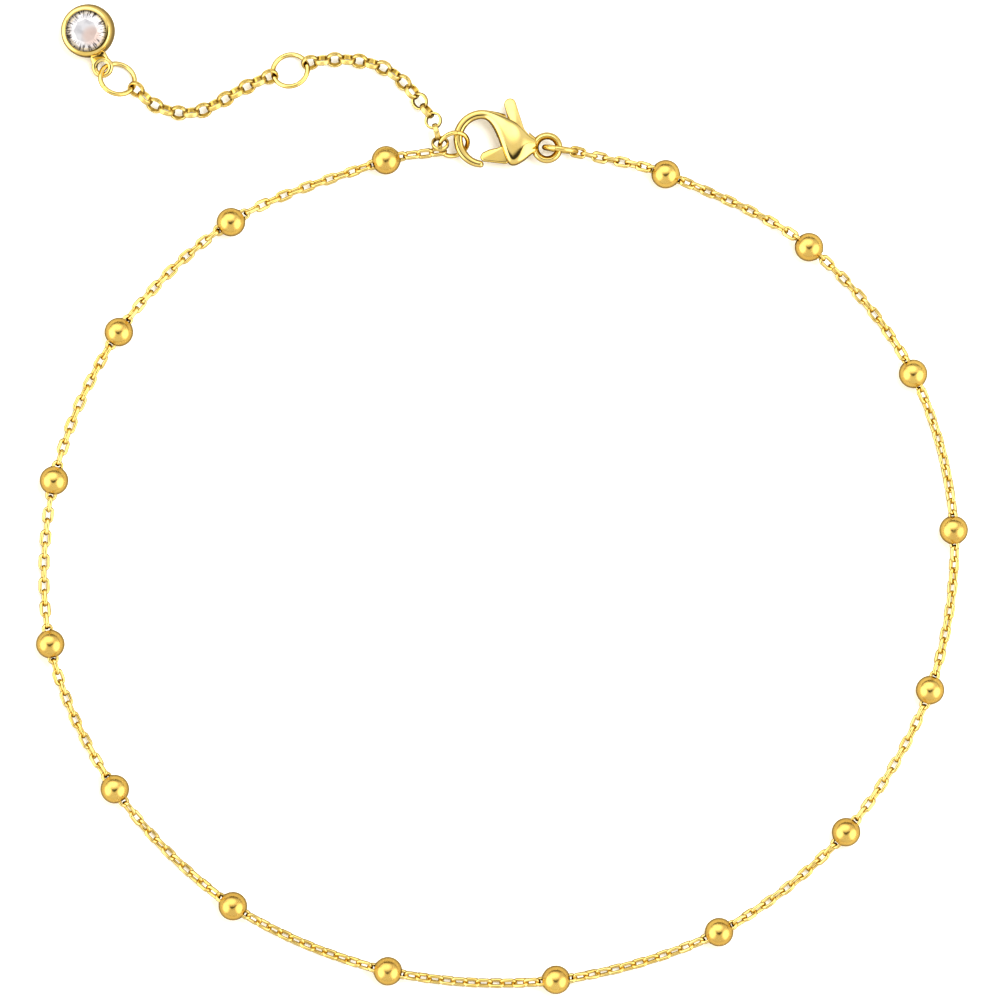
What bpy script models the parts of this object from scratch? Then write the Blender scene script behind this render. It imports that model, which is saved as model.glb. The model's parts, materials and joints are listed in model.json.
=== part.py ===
"""Chain anklet with round beads, a lobster clasp, an extender chain and a bezel drop.

It lies flat on Z = 0 as a closed loop. X and Y are centred on the outline of the whole piece,
and the clasp and the extender are at the +Y end.
"""

import math

import bmesh
import bpy
from mathutils import Matrix, Vector

MM = 0.001

# Beads and the cable chain that runs through them
BEAD_DIAMETER = 2.40 * MM
BEAD_SIDES = 14
BEAD_ARC_STEPS = 7
BORE_CLEARANCE = 0.10 * MM
CABLE_LINK_LENGTH = 1.50 * MM
CABLE_LINK_WIDTH = 1.00 * MM
CABLE_WIRE = 0.25 * MM
TUBE_END_GAP = 0.15 * MM
POINTS_BETWEEN_BEADS = 3
FIRST_LINK_ROLL = math.radians(45)
LAST_LINK_ROLL = 0.0

# Extender chain of round flat-sided links
ROLO_DIAMETER = 1.50 * MM
ROLO_WALL = 0.20 * MM
ROLO_BAND = 0.42 * MM
ROLO_SLACK = 0.055 * MM
ROLO_ROLL = math.radians(45)
FIRST_ROLO_TILT = math.radians(-37)
FIRST_ROLO_TWIST = math.radians(52)
TWISTED_LINKS = 6
LINKS_TO_MIDDLE_RING = 15
LINKS_TO_END_RING = 13
LINKS_OFF_JOINING_RING = 4.3
LINKS_OFF_EXTENDER_RING = 3

# Jump rings: outer diameter, wire and tilt about the chain's direction
CLASP_RING_DIAMETER = 3.11 * MM
CLASP_RING_WIRE = 0.45 * MM
CLASP_RING_HEADING = math.radians(-7.8)
CLASP_RING_INSET = 0.15
JOINING_RING_DIAMETER = 2.80 * MM
JOINING_RING_WIRE = 0.38 * MM
JOINING_RING_HEADING = math.radians(21.5)
JOINING_RING_TILT = math.radians(42)
EXTENDER_RING_DIAMETER = 3.35 * MM
EXTENDER_RING_WIRE = 0.40 * MM
MIDDLE_RING_TILT = math.radians(24)
END_RING_TILT = math.radians(31)
RING_SIDES = 24
WIRE_SIDES = 6
LINK_SIDES = 14

# Where things hold each other, as angles about the hook's centre or round a jump ring
HOOK_HOLDS_RING = math.radians(191.1)
RING_HOLDS_CHAIN = math.radians(190)
RING_HOLDS_EXTENDER = math.radians(150)
CLASP_RING_HOLDS_CHAIN = math.radians(-20)

# Lobster clasp
CLASP_LENGTH = 9.13 * MM
CLASP_WIDTH = 4.90 * MM
CLASP_THICKNESS = 2.45 * MM
HOOK_STOCK = 0.68 * MM
HOOK_TIP_STOCK = 0.46 * MM
HOOK_THICKNESS = 0.95 * MM
HOOK_RISE = 0.155
HOOK_TIP_ANGLE = math.radians(273)
HOOK_STEPS = 12
EYE_DIAMETER = 2.52 * MM
EYE_HOLE = 1.40 * MM
EYE_THICKNESS = 0.80 * MM
EYE_CENTRE_X = 3.78 * MM
EYE_CENTRE_Y = 29.43 * MM
SECTION_SIDES = 16
SECTION_SQUARENESS = 2.5
LEVER_THICKNESS = 0.90 * MM
LEVER_CLEARANCE = 0.12 * MM
LEVER_EDGE = 0.10 * MM
LEVER_TRAVEL = math.radians(22)
PIVOT_ALONG = 0.581
PIVOT_RISE = 0.137
PIN_DIAMETER = 0.50 * MM
PIN_CLEARANCE = 0.06 * MM
HUB_DIAMETER = 1.20 * MM
TAB_WIDTH = 0.97 * MM
TAB_REACH = 3.60 * MM
TAB_HEADING = math.radians(103)

# Bezel drop
CUP_DIAMETER = 4.50 * MM
CUP_HEIGHT = 2.10 * MM
CUP_BACK_DIAMETER = 3.10 * MM
CUP_WIDEST_HEIGHT = 0.80 * MM
CUP_BACK_WALL = 0.35 * MM
STONE_DIAMETER = 3.56 * MM
STONE_GAP = 0.05 * MM
LIP_OVERLAP = 0.06 * MM
LIP_THICKNESS = 0.12 * MM
CROWN_HEIGHT = 0.50 * MM
GIRDLE_HEIGHT = 0.10 * MM
PAVILION_DEPTH = 1.05 * MM
DROP_LEAN = math.radians(8)
DROP_LEAN_HEADING = math.radians(199)
LOOP_DIAMETER = 1.93 * MM
LOOP_WIRE = 0.42 * MM
LOOP_NECK_WIDTH = 1.05 * MM
LOOP_NECK_THICKNESS = 0.34 * MM
LOOP_NECK_SINK = 0.27 * MM
LOOP_REACH = 3.42 * MM
LOOP_FROM_RING = math.radians(-8)
DROP_HEADING = math.radians(109.2)

LINK_PLAY = 0.03 * MM
FLOOR_GAP = 0.02 * MM
MERGE_DISTANCE = 0.001 * MM

# Plan positions of the bead centres, from the end of the extender round to the clasp's eye
BEAD_POINTS = [
    (-9.74 * MM, 28.44 * MM), (-22.76 * MM, 23.22 * MM), (-32.17 * MM, 13.98 * MM),
    (-37.62 * MM, 1.51 * MM), (-37.97 * MM, -12.23 * MM), (-32.51 * MM, -24.41 * MM),
    (-22.60 * MM, -34.24 * MM), (-9.58 * MM, -39.70 * MM), (4.54 * MM, -40.45 * MM),
    (18.23 * MM, -36.42 * MM), (28.90 * MM, -28.02 * MM), (35.95 * MM, -16.09 * MM),
    (37.97 * MM, -2.65 * MM), (34.53 * MM, 10.48 * MM), (25.79 * MM, 21.12 * MM),
    (13.75 * MM, 27.24 * MM),
]

# Plan bends of the extender: the lead, seen from where it leaves the joining ring, and then the
# bends from there to beyond the end ring
EXTENDER_LEAD = [(-0.32 * MM, 1.05 * MM), (-0.57 * MM, 1.95 * MM)]
EXTENDER_POINTS = [
    (-6.77 * MM, 33.17 * MM), (-8.14 * MM, 34.81 * MM), (-9.81 * MM, 36.09 * MM),
    (-11.95 * MM, 36.73 * MM), (-14.05 * MM, 36.86 * MM), (-16.26 * MM, 36.57 * MM),
    (-17.91 * MM, 35.89 * MM), (-19.62 * MM, 35.38 * MM), (-21.64 * MM, 34.47 * MM),
    (-23.60 * MM, 33.34 * MM), (-25.18 * MM, 32.58 * MM), (-26.88 * MM, 32.37 * MM),
    (-28.60 * MM, 32.75 * MM), (-29.82 * MM, 33.51 * MM), (-30.80 * MM, 34.42 * MM),
    (-32.40 * MM, 35.28 * MM), (-34.20 * MM, 36.30 * MM),
]
MIDDLE_RING_BEND = 9
END_RING_BEND = 18

# Sections of the clasp's bulged body from the hook's top to the eye. Along is a share of the way
# from the hook's centre to the eye's, upper and lower are shares of the clasp's width above the
# eye's centre, and thick is a share of its thickness.
BODY_SECTIONS = [
    {"along": 0.085, "upper": 0.643, "lower": 0.471, "thick": 0.45},
    {"along": 0.194, "upper": 0.624, "lower": 0.292, "thick": 0.63},
    {"along": 0.271, "upper": 0.604, "lower": 0.051, "thick": 0.80},
    {"along": 0.349, "upper": 0.580, "lower": -0.171, "thick": 0.92},
    {"along": 0.411, "upper": 0.549, "lower": -0.306, "thick": 0.98},
    {"along": 0.504, "upper": 0.498, "lower": -0.310, "thick": 1.00},
    {"along": 0.581, "upper": 0.445, "lower": -0.271, "thick": 0.96},
    {"along": 0.659, "upper": 0.351, "lower": -0.214, "thick": 0.86},
    {"along": 0.736, "upper": 0.257, "lower": -0.137, "thick": 0.70},
    {"along": 0.798, "upper": 0.200, "lower": -0.082, "thick": 0.53},
    {"along": 0.850, "upper": 0.155, "lower": -0.051, "thick": 0.41},
]

# Corners of the lever's gate, seen from the pivot: x as a share of the way from the hook's centre
# to the eye's, y as a share of the clasp's width
GATE_CORNERS = {
    "crook": (-0.085, 0.010),
    "upper": (-0.341, -0.137),
    "tip_upper": (-0.588, -0.257),
    "tip": (-0.607, -0.310),
    "tip_lower": (-0.581, -0.370),
    "heel": (-0.205, -0.416),
}


def direction(angle):
    """Unit vector in plan at this angle from +X."""
    return Vector((math.cos(angle), math.sin(angle), 0.0))


def lying_frame(centre, along, tilt):
    """Placement of a ring whose plane holds 'along' and is turned about it by 'tilt' from flat."""
    x_axis = along.normalized()
    side = Vector((0, 0, 1)).cross(x_axis).normalized()
    up = x_axis.cross(side)
    y_axis = side * math.cos(tilt) + up * math.sin(tilt)
    z_axis = x_axis.cross(y_axis)
    turn = Matrix((x_axis, y_axis, z_axis)).transposed().to_4x4()
    return Matrix.Translation(centre) @ turn


class Path:
    """A smooth way through plan points, raised where something carries it, measured by length."""

    STEPS_PER_BEND = 24

    def __init__(self, plan_points, rest_height, supports=()):
        self.plan = self.smooth([Vector((x, y, 0.0)) for x, y in plan_points])
        reach = self.lengths(self.plan)
        self.points = []
        for point, run in zip(self.plan, reach):
            height = rest_height
            for support in supports:
                away = abs(run - reach[support["bend"] * self.STEPS_PER_BEND]) - support["hold"]
                share = min(max(away / support["drop"], 0.0), 1.0)
                lift = support["height"] - rest_height
                height += lift * (1 + math.cos(math.pi * share)) / 2
            self.points.append(Vector((point.x, point.y, height)))
        self.reach = self.lengths(self.points)

    def smooth(self, bends):
        """Points of a cubic curve through the bends, with each tangent along its neighbours' chord."""
        last = len(bends) - 1
        found = [bends[0]]
        for i in range(last):
            start, end = bends[i], bends[i + 1]
            span = (end - start).length
            leave = (end - bends[max(i - 1, 0)]).normalized() * span
            arrive = (bends[min(i + 2, last)] - start).normalized() * span
            for step in range(1, self.STEPS_PER_BEND + 1):
                t = step / self.STEPS_PER_BEND
                found.append(
                    start * (2 * t**3 - 3 * t**2 + 1)
                    + leave * (t**3 - 2 * t**2 + t)
                    + end * (3 * t**2 - 2 * t**3)
                    + arrive * (t**3 - t**2)
                )
        return found

    def lengths(self, points):
        """How far along the way each point is."""
        found = [0.0]
        for a, b in zip(points, points[1:]):
            found.append(found[-1] + (b - a).length)
        return found

    def at(self, run):
        """The point that is this far along the way."""
        i = 1
        while i < len(self.reach) - 1 and self.reach[i] < run:
            i += 1
        share = (run - self.reach[i - 1]) / (self.reach[i] - self.reach[i - 1])
        return self.points[i - 1].lerp(self.points[i], share)

    def heading(self, run, span):
        """The direction of the way about the point that is this far along it."""
        return (self.at(run + span / 2) - self.at(run - span / 2)).normalized()

    def bend_run(self, bend):
        """How far along the way a bend is."""
        return self.reach[bend * self.STEPS_PER_BEND]


def make_material(name, colour, metallic, roughness):
    """A plain Principled material."""
    material = bpy.data.materials.new(name)
    material.use_nodes = True
    shader = material.node_tree.nodes["Principled BSDF"]
    shader.inputs["Base Color"].default_value = (*colour, 1.0)
    shader.inputs["Metallic"].default_value = metallic
    shader.inputs["Roughness"].default_value = roughness
    return material


def add_object(name, mesh, group, material, place):
    """Puts a mesh in the collection under this name, at this placement."""
    if material and not mesh.materials:
        mesh.materials.append(material)
    obj = bpy.data.objects.new(name, mesh)
    group.objects.link(obj)
    obj.location = place.to_translation()
    obj.rotation_euler = place.to_euler()
    return obj


def ring_mesh(name, diameter, wall, band, sides):
    """A ring about Z: outer diameter, radial thickness and width along Z."""
    bpy.ops.mesh.primitive_torus_add(
        major_segments=sides,
        minor_segments=WIRE_SIDES,
        major_radius=(diameter - wall) / 2,
        minor_radius=wall / 2,
    )
    made = bpy.context.object
    mesh = made.data
    bpy.data.objects.remove(made)
    mesh.name = name
    mesh.transform(Matrix.Diagonal((1, 1, band / wall, 1)))
    mesh.shade_smooth()
    return mesh


def oval_mesh(name, length, width, wire, sides):
    """A round-wire ring drawn out along X to this length."""
    mesh = ring_mesh(name, width, wire, wire, sides)
    for vertex in mesh.vertices:
        vertex.co.x += math.copysign((length - width) / 2, vertex.co.x)
    return mesh


def profile_mesh(name, points, closed):
    """A profile in the XZ plane, for a Screw modifier about Z."""
    mesh = bpy.data.meshes.new(name)
    edges = [(i, i + 1) for i in range(len(points) - 1)]
    if closed:
        edges.append((len(points) - 1, 0))
    mesh.from_pydata([(x, 0, z) for x, z in points], edges, [])
    return mesh


def add_turning(obj, steps):
    """Turns an object's profile about its Z axis."""
    screw = obj.modifiers.new("Turned", "SCREW")
    screw.steps = steps
    screw.render_steps = steps
    screw.use_merge_vertices = True
    screw.merge_threshold = MERGE_DISTANCE
    screw.use_smooth_shade = True


def add_boolean(obj, other, operation):
    """Cuts or joins another solid."""
    modifier = obj.modifiers.new(other.name, "BOOLEAN")
    modifier.operation = operation
    modifier.object = other
    modifier.solver = "EXACT"
    other.hide_render = True
    other.display_type = "WIRE"


def loft_mesh(name, rings):
    """A closed skin over rings of points, each with the same number of points."""
    builder = bmesh.new()
    rows = [[builder.verts.new(point) for point in ring] for ring in rings]
    count = len(rings[0])
    for near, far in zip(rows, rows[1:]):
        for i in range(count):
            j = (i + 1) % count
            builder.faces.new((near[i], near[j], far[j], far[i]))
    builder.faces.new(list(reversed(rows[0])))
    builder.faces.new(rows[-1])
    bmesh.ops.recalc_face_normals(builder, faces=builder.faces)
    mesh = bpy.data.meshes.new(name)
    builder.to_mesh(mesh)
    builder.free()
    return mesh


def plate_mesh(name, outline, thickness, hole_diameter=0.0):
    """A flat plate about Z = 0 with this outline and an optional round hole at 0, 0."""
    outlines = [outline]
    if hole_diameter:
        sides = 16
        radius = hole_diameter / 2 / math.cos(math.pi / sides)
        outlines.append([direction(2 * math.pi * i / sides) * radius for i in range(sides)])
    curve = bpy.data.curves.new(name, "CURVE")
    curve.dimensions = "2D"
    curve.fill_mode = "BOTH"
    curve.extrude = thickness / 2
    for points in outlines:
        spline = curve.splines.new("POLY")
        spline.points.add(len(points) - 1)
        for spot, point in zip(spline.points, points):
            spot.co = (point[0], point[1], 0, 1)
        spline.use_cyclic_u = True
    holder = bpy.data.objects.new(name, curve)
    bpy.context.scene.collection.objects.link(holder)
    evaluated = holder.evaluated_get(bpy.context.evaluated_depsgraph_get())
    mesh = bpy.data.meshes.new_from_object(evaluated)
    bpy.data.objects.remove(holder)
    builder = bmesh.new()
    builder.from_mesh(mesh)
    bmesh.ops.remove_doubles(builder, verts=builder.verts, dist=MERGE_DISTANCE)
    builder.to_mesh(mesh)
    builder.free()
    mesh.name = name
    return mesh


class Clasp:
    """Where the clasp's features are, about the eye's centre, with the hook towards -X."""

    def __init__(self):
        self.height = CLASP_THICKNESS / 2
        self.origin = Vector((EYE_CENTRE_X, EYE_CENTRE_Y, self.height))
        self.hook_radius = CLASP_WIDTH / 2
        self.span = CLASP_LENGTH - EYE_DIAMETER / 2 - self.hook_radius
        self.hook_centre = Vector((-self.span, HOOK_RISE * CLASP_WIDTH, 0.0))
        self.pivot = Vector((self.span * (PIVOT_ALONG - 1), PIVOT_RISE * CLASP_WIDTH, 0.0))

    def section(self, centre, across, width, thickness):
        """One ring of the body's skin: a rounded section in the plane of 'across' and Z."""
        points = []
        power = 2 / SECTION_SQUARENESS
        for i in range(SECTION_SIDES):
            angle = 2 * math.pi * (i + 0.5) / SECTION_SIDES
            c, s = math.cos(angle), math.sin(angle)
            wide = math.copysign(abs(c) ** power, c) * width / 2
            high = math.copysign(abs(s) ** power, s) * thickness / 2
            points.append(centre + across * wide + Vector((0, 0, high)))
        return points

    def body_rings(self):
        """The hook's sections from its tip round to its top, then the body's down to the eye."""
        rings = []
        top = math.radians(90)
        for step in range(HOOK_STEPS + 1):
            share = step / HOOK_STEPS
            angle = HOOK_TIP_ANGLE + (top - HOOK_TIP_ANGLE) * share
            ease = min(share * 3, 1.0)
            stock = HOOK_TIP_STOCK + (HOOK_STOCK - HOOK_TIP_STOCK) * ease
            outwards = direction(angle)
            centre = self.hook_centre + outwards * (self.hook_radius - stock / 2)
            rings.append(self.section(centre, outwards, stock, HOOK_THICKNESS))
        for row in BODY_SECTIONS:
            upper, lower = row["upper"] * CLASP_WIDTH, row["lower"] * CLASP_WIDTH
            centre = Vector((self.span * (row["along"] - 1), (upper + lower) / 2, 0.0))
            thickness = row["thick"] * CLASP_THICKNESS
            rings.append(self.section(centre, Vector((0, 1, 0)), upper - lower, thickness))
        return rings

    def gate(self, corner):
        """A corner of the gate, from the pivot."""
        x, y = GATE_CORNERS[corner]
        return Vector((x * self.span, y * CLASP_WIDTH, 0.0))

    def lever_outline(self):
        """The lever's plan, from the pivot: hub, thumb tab and gate."""
        out = direction(TAB_HEADING)
        left = direction(TAB_HEADING + math.pi / 2)
        round_centre = out * (TAB_REACH - TAB_WIDTH / 2)
        outline = [direction(math.radians(a)) * HUB_DIAMETER / 2 for a in (-75, -45, -15, 10)]
        for step in range(7):
            angle = TAB_HEADING - math.pi / 2 + math.pi * step / 6
            outline.append(round_centre + direction(angle) * TAB_WIDTH / 2)
        outline.append(out * HUB_DIAMETER * 0.6 + left * TAB_WIDTH / 2)
        for corner in ("crook", "upper", "tip_upper", "tip", "tip_lower", "heel"):
            outline.append(self.gate(corner))
        return outline

    def slot_outline(self):
        """The room that the lever sweeps from closed to open, with its clearance."""
        open_turn = Matrix.Rotation(-LEVER_TRAVEL, 3, "Z")
        gap = LEVER_CLEARANCE
        far = TAB_REACH + 4 * gap
        half = TAB_WIDTH / 2 + gap
        room = HUB_DIAMETER / 2 + gap
        opened = TAB_HEADING - LEVER_TRAVEL
        upper, tip = open_turn @ self.gate("upper"), open_turn @ self.gate("tip_upper")
        mouth = self.gate("upper").x - 4 * gap
        slope = (tip.y - upper.y) / (tip.x - upper.x)
        heel = self.gate("heel")
        return [
            direction(math.radians(-75)) * room,
            direction(math.radians(-45)) * room,
            direction(opened - math.pi / 2) * room,
            direction(opened - math.pi / 2) * half + direction(opened) * far,
            direction(TAB_HEADING + math.pi / 2) * half + direction(TAB_HEADING) * far,
            direction(TAB_HEADING + math.pi / 2) * half + direction(TAB_HEADING) * room,
            upper + Vector((0, gap, 0)),
            Vector((mouth, upper.y + gap + slope * (mouth - upper.x), 0)),
            Vector((mouth, heel.y - 3 * gap, 0)),
            heel + Vector((gap, -3 * gap, 0)),
            heel + Vector((2 * gap, -gap, 0)),
        ]


def build_clasp(group, cutters, gold, steel):
    """The hook, body, eye and pin as one solid, and the sprung lever."""
    clasp = Clasp()
    place = Matrix.Translation(clasp.origin)
    at_pivot = Matrix.Translation(clasp.origin + clasp.pivot)
    body = add_object("clasp_body", loft_mesh("clasp_body", clasp.body_rings()), group, gold, place)

    eye = add_object(
        "clasp_eye",
        ring_mesh("clasp_eye", EYE_DIAMETER, (EYE_DIAMETER - EYE_HOLE) / 2, EYE_THICKNESS, RING_SIDES),
        cutters, gold, place,
    )
    add_boolean(body, eye, "UNION")

    slot_height = LEVER_THICKNESS + 2 * LEVER_CLEARANCE
    slot = add_object(
        "lever_slot", plate_mesh("lever_slot", clasp.slot_outline(), slot_height), cutters, None, at_pivot
    )
    add_boolean(body, slot, "DIFFERENCE")

    bpy.ops.mesh.primitive_cylinder_add(
        vertices=12,
        radius=PIN_DIAMETER / 2,
        depth=(slot_height + CLASP_THICKNESS) / 2,
        location=at_pivot.to_translation(),
    )
    pin = bpy.context.object
    pin.name = "clasp_pin"
    pin.data.materials.append(steel)
    for owner in list(pin.users_collection):
        owner.objects.unlink(pin)
    cutters.objects.link(pin)
    add_boolean(body, pin, "UNION")

    lever = plate_mesh(
        "clasp_lever",
        clasp.lever_outline(),
        LEVER_THICKNESS,
        hole_diameter=PIN_DIAMETER + 2 * PIN_CLEARANCE,
    )
    piece = add_object("clasp_lever", lever, group, gold, at_pivot)
    soften = piece.modifiers.new("Softened", "BEVEL")
    soften.width = LEVER_EDGE
    soften.segments = 2
    soften.limit_method = "ANGLE"
    soften.angle_limit = math.radians(50)
    return clasp


def point_on_ring(ring, angle, mean_radius):
    """The middle of a ring's wire at this angle in its plane."""
    return ring @ (direction(angle) * mean_radius)


def build_clasp_ring(group, gold, clasp):
    """The upright jump ring in the clasp's eye. Returns where the chain's last link holds it."""
    mean = (CLASP_RING_DIAMETER - CLASP_RING_WIRE) / 2
    along = direction(CLASP_RING_HEADING)
    inset = along * (mean - EYE_HOLE * CLASP_RING_INSET)
    centre = Vector((clasp.origin.x, clasp.origin.y, CLASP_RING_DIAMETER / 2)) + inset
    ring = lying_frame(centre, along, math.radians(90))
    mesh = ring_mesh("clasp_ring", CLASP_RING_DIAMETER, CLASP_RING_WIRE, CLASP_RING_WIRE, RING_SIDES)
    add_object("clasp_ring", mesh, group, gold, ring)
    return point_on_ring(ring, CLASP_RING_HOLDS_CHAIN, mean)


def build_joining_ring(group, gold, clasp):
    """The tilted jump ring round the hook. Returns its placement."""
    hold = direction(HOOK_HOLDS_RING) * clasp.hook_radius
    centre = clasp.origin + clasp.hook_centre + hold
    ring = lying_frame(centre, direction(JOINING_RING_HEADING), JOINING_RING_TILT)
    mesh = ring_mesh(
        "joining_ring", JOINING_RING_DIAMETER, JOINING_RING_WIRE, JOINING_RING_WIRE, RING_SIDES
    )
    add_object("joining_ring", mesh, group, gold, ring)
    return ring


def build_main_chain(group, gold, joining_ring, clasp_point):
    """The beads, the first and last cable links, and the tube of the chain between them."""
    bead_radius = BEAD_DIAMETER / 2
    rest = CABLE_LINK_WIDTH / 2 + FLOOR_GAP
    mean = (JOINING_RING_DIAMETER - JOINING_RING_WIRE) / 2
    start_point = point_on_ring(joining_ring, RING_HOLDS_CHAIN, mean)

    hole = CABLE_LINK_LENGTH / 2 - CABLE_WIRE - LINK_PLAY
    first_bead, last_bead = (Vector((*BEAD_POINTS[i], 0.0)) for i in (0, -1))
    start_way = (first_bead - start_point) * Vector((1, 1, 0))
    end_way = (last_bead - clasp_point) * Vector((1, 1, 0))
    start = start_point + start_way.normalized() * (hole - JOINING_RING_WIRE / 2)
    end = clasp_point + end_way.normalized() * (hole - CLASP_RING_WIRE / 2)

    hold = bead_radius + BORE_CLEARANCE
    drop = CABLE_LINK_LENGTH * 2
    supports = [{"bend": 0, "height": start.z, "hold": 0.0, "drop": drop}]
    for i in range(len(BEAD_POINTS)):
        supports.append({"bend": i + 1, "height": bead_radius, "hold": hold, "drop": drop})
    supports.append({"bend": len(BEAD_POINTS) + 1, "height": end.z, "hold": 0.0, "drop": drop})
    route = Path([start[:2], *BEAD_POINTS, end[:2]], rest, supports)
    length = route.reach[-1]

    link = oval_mesh("cable_link", CABLE_LINK_LENGTH, CABLE_LINK_WIDTH, CABLE_WIRE, LINK_SIDES)
    half_link = CABLE_LINK_LENGTH / 2
    ends = [
        ("chain_first_link", half_link, start, FIRST_LINK_ROLL),
        ("chain_last_link", length - half_link, end, LAST_LINK_ROLL),
    ]
    for name, run, spot, roll in ends:
        along = route.heading(run, CABLE_LINK_LENGTH)
        add_object(name, link, group, gold, lying_frame(spot, along, roll))

    profile = []
    bore = CABLE_LINK_WIDTH / 2 + BORE_CLEARANCE
    mouth = math.asin(bore / bead_radius)
    for step in range(BEAD_ARC_STEPS + 1):
        angle = mouth + (math.pi - 2 * mouth) * step / BEAD_ARC_STEPS
        profile.append((math.sin(angle) * bead_radius, math.cos(angle) * bead_radius))
    bead = profile_mesh("bead", profile, closed=True)
    runs = [half_link + TUBE_END_GAP]
    for i in range(len(BEAD_POINTS)):
        run = route.bend_run(i + 1)
        before, after = route.at(run - hold), route.at(run + hold)
        frame = lying_frame((before + after) / 2, after - before, 0.0)
        across = Matrix.Rotation(math.radians(90), 4, "Y")
        obj = add_object(f"bead_{i + 1:02d}", bead, group, gold, frame @ across)
        add_turning(obj, BEAD_SIDES)
        gap = run - hold - runs[-1]
        inner = POINTS_BETWEEN_BEADS if i else 1
        runs += [runs[-1] + gap * (k + 1) / (inner + 1) for k in range(inner)]
        runs += [run - hold, run + hold]
    gap = length - half_link - TUBE_END_GAP - runs[-1]
    runs += [runs[-1] + gap * (k + 1) / POINTS_BETWEEN_BEADS for k in range(POINTS_BETWEEN_BEADS)]

    curve = bpy.data.curves.new("chain", "CURVE")
    curve.dimensions = "3D"
    curve.bevel_depth = CABLE_LINK_WIDTH / 2
    curve.bevel_resolution = 2
    curve.use_fill_caps = True
    spline = curve.splines.new("POLY")
    spline.points.add(len(runs) - 1)
    for spot, run in zip(spline.points, runs):
        spot.co = (*route.at(run), 1)
    curve.materials.append(gold)
    chain = bpy.data.objects.new("chain", curve)
    group.objects.link(chain)


def build_extender(group, gold, joining_ring):
    """The rolo links, the middle ring and the end ring. Returns the end ring's placement."""
    mean = (JOINING_RING_DIAMETER - JOINING_RING_WIRE) / 2
    start = point_on_ring(joining_ring, RING_HOLDS_EXTENDER, mean)
    pitch = ROLO_DIAMETER - 2 * ROLO_WALL - ROLO_SLACK
    ring_mean = (EXTENDER_RING_DIAMETER - EXTENDER_RING_WIRE) / 2
    hole = ROLO_DIAMETER / 2 - ROLO_WALL
    ring_step = ring_mean + hole - EXTENDER_RING_WIRE / 2 - LINK_PLAY

    rest = (ROLO_DIAMETER * math.sin(ROLO_ROLL) + ROLO_BAND * math.cos(ROLO_ROLL)) / 2 + FLOOR_GAP
    lift = EXTENDER_RING_WIRE / 2 + FLOOR_GAP
    middle_height = ring_mean * math.sin(MIDDLE_RING_TILT) + lift
    end_height = ring_mean * math.sin(END_RING_TILT) + lift
    off_start, off_ring = LINKS_OFF_JOINING_RING * pitch, LINKS_OFF_EXTENDER_RING * pitch
    supports = [
        {"bend": 0, "height": start.z, "hold": 0.0, "drop": off_start},
        {"bend": MIDDLE_RING_BEND, "height": middle_height, "hold": ring_mean, "drop": off_ring},
        {"bend": END_RING_BEND, "height": end_height, "hold": ring_step, "drop": off_ring},
    ]
    lead = [(start.x + x, start.y + y) for x, y in EXTENDER_LEAD]
    route = Path([start[:2], *lead, *EXTENDER_POINTS], rest, supports)
    link = ring_mesh("rolo_link", ROLO_DIAMETER, ROLO_WALL, ROLO_BAND, LINK_SIDES)
    big = ring_mesh(
        "extender_ring", EXTENDER_RING_DIAMETER, EXTENDER_RING_WIRE, EXTENDER_RING_WIRE, RING_SIDES
    )

    number = 0

    def add_links(count, run, first_twist):
        """A stretch of links whose rolls lean one way and then the other."""
        nonlocal number
        for i in range(count):
            number += 1
            along = route.heading(run + i * pitch, pitch)
            twist = first_twist * max(1 - i / TWISTED_LINKS, 0.0)
            roll = (ROLO_ROLL if i % 2 else -ROLO_ROLL) + twist
            frame = lying_frame(route.at(run + i * pitch), along, roll)
            if number == 1:
                frame = lying_frame(start, direction(0), FIRST_ROLO_TILT)
            add_object(f"extender_link_{number:02d}", link, group, gold, frame)
        return run + (count - 1) * pitch

    run = add_links(LINKS_TO_MIDDLE_RING, 0.0, FIRST_ROLO_TWIST) + ring_step
    middle = lying_frame(route.at(run), route.heading(run, ring_mean), MIDDLE_RING_TILT)
    add_object("middle_ring", big, group, gold, middle)
    run = add_links(LINKS_TO_END_RING, run + ring_step, 0.0) + ring_step
    end_way = route.heading(run, ring_mean) * Vector((1, 1, 0))
    end = lying_frame(route.at(run), end_way, END_RING_TILT)
    add_object("end_ring", big, group, gold, end)
    return end


def cup_profile(seat):
    """The bezel cup from the middle of its hollow, over the rim and down to the middle of its back."""
    cavity = STONE_DIAMETER / 2 + STONE_GAP
    lip = STONE_DIAMETER / 2 - LIP_OVERLAP
    rim = CUP_HEIGHT
    outer = CUP_DIAMETER / 2
    back = CUP_BACK_DIAMETER / 2
    shoulder = cavity + LIP_THICKNESS
    crown_edge = seat + GIRDLE_HEIGHT + STONE_GAP
    return [
        (0.0, CUP_BACK_WALL),
        (cavity * 0.45, CUP_BACK_WALL),
        (cavity, seat - STONE_GAP),
        (cavity, crown_edge),
        (lip, crown_edge + LIP_THICKNESS),
        (lip, rim),
        (shoulder, rim),
        (outer * 0.3 + shoulder * 0.7, rim * 0.80 + CUP_WIDEST_HEIGHT * 0.20),
        (outer * 0.8 + shoulder * 0.2, rim * 0.35 + CUP_WIDEST_HEIGHT * 0.65),
        (outer, CUP_WIDEST_HEIGHT),
        (outer * 0.80 + back * 0.20, CUP_WIDEST_HEIGHT * 0.32),
        (back, 0.0),
        (0.0, 0.0),
    ]


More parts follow.
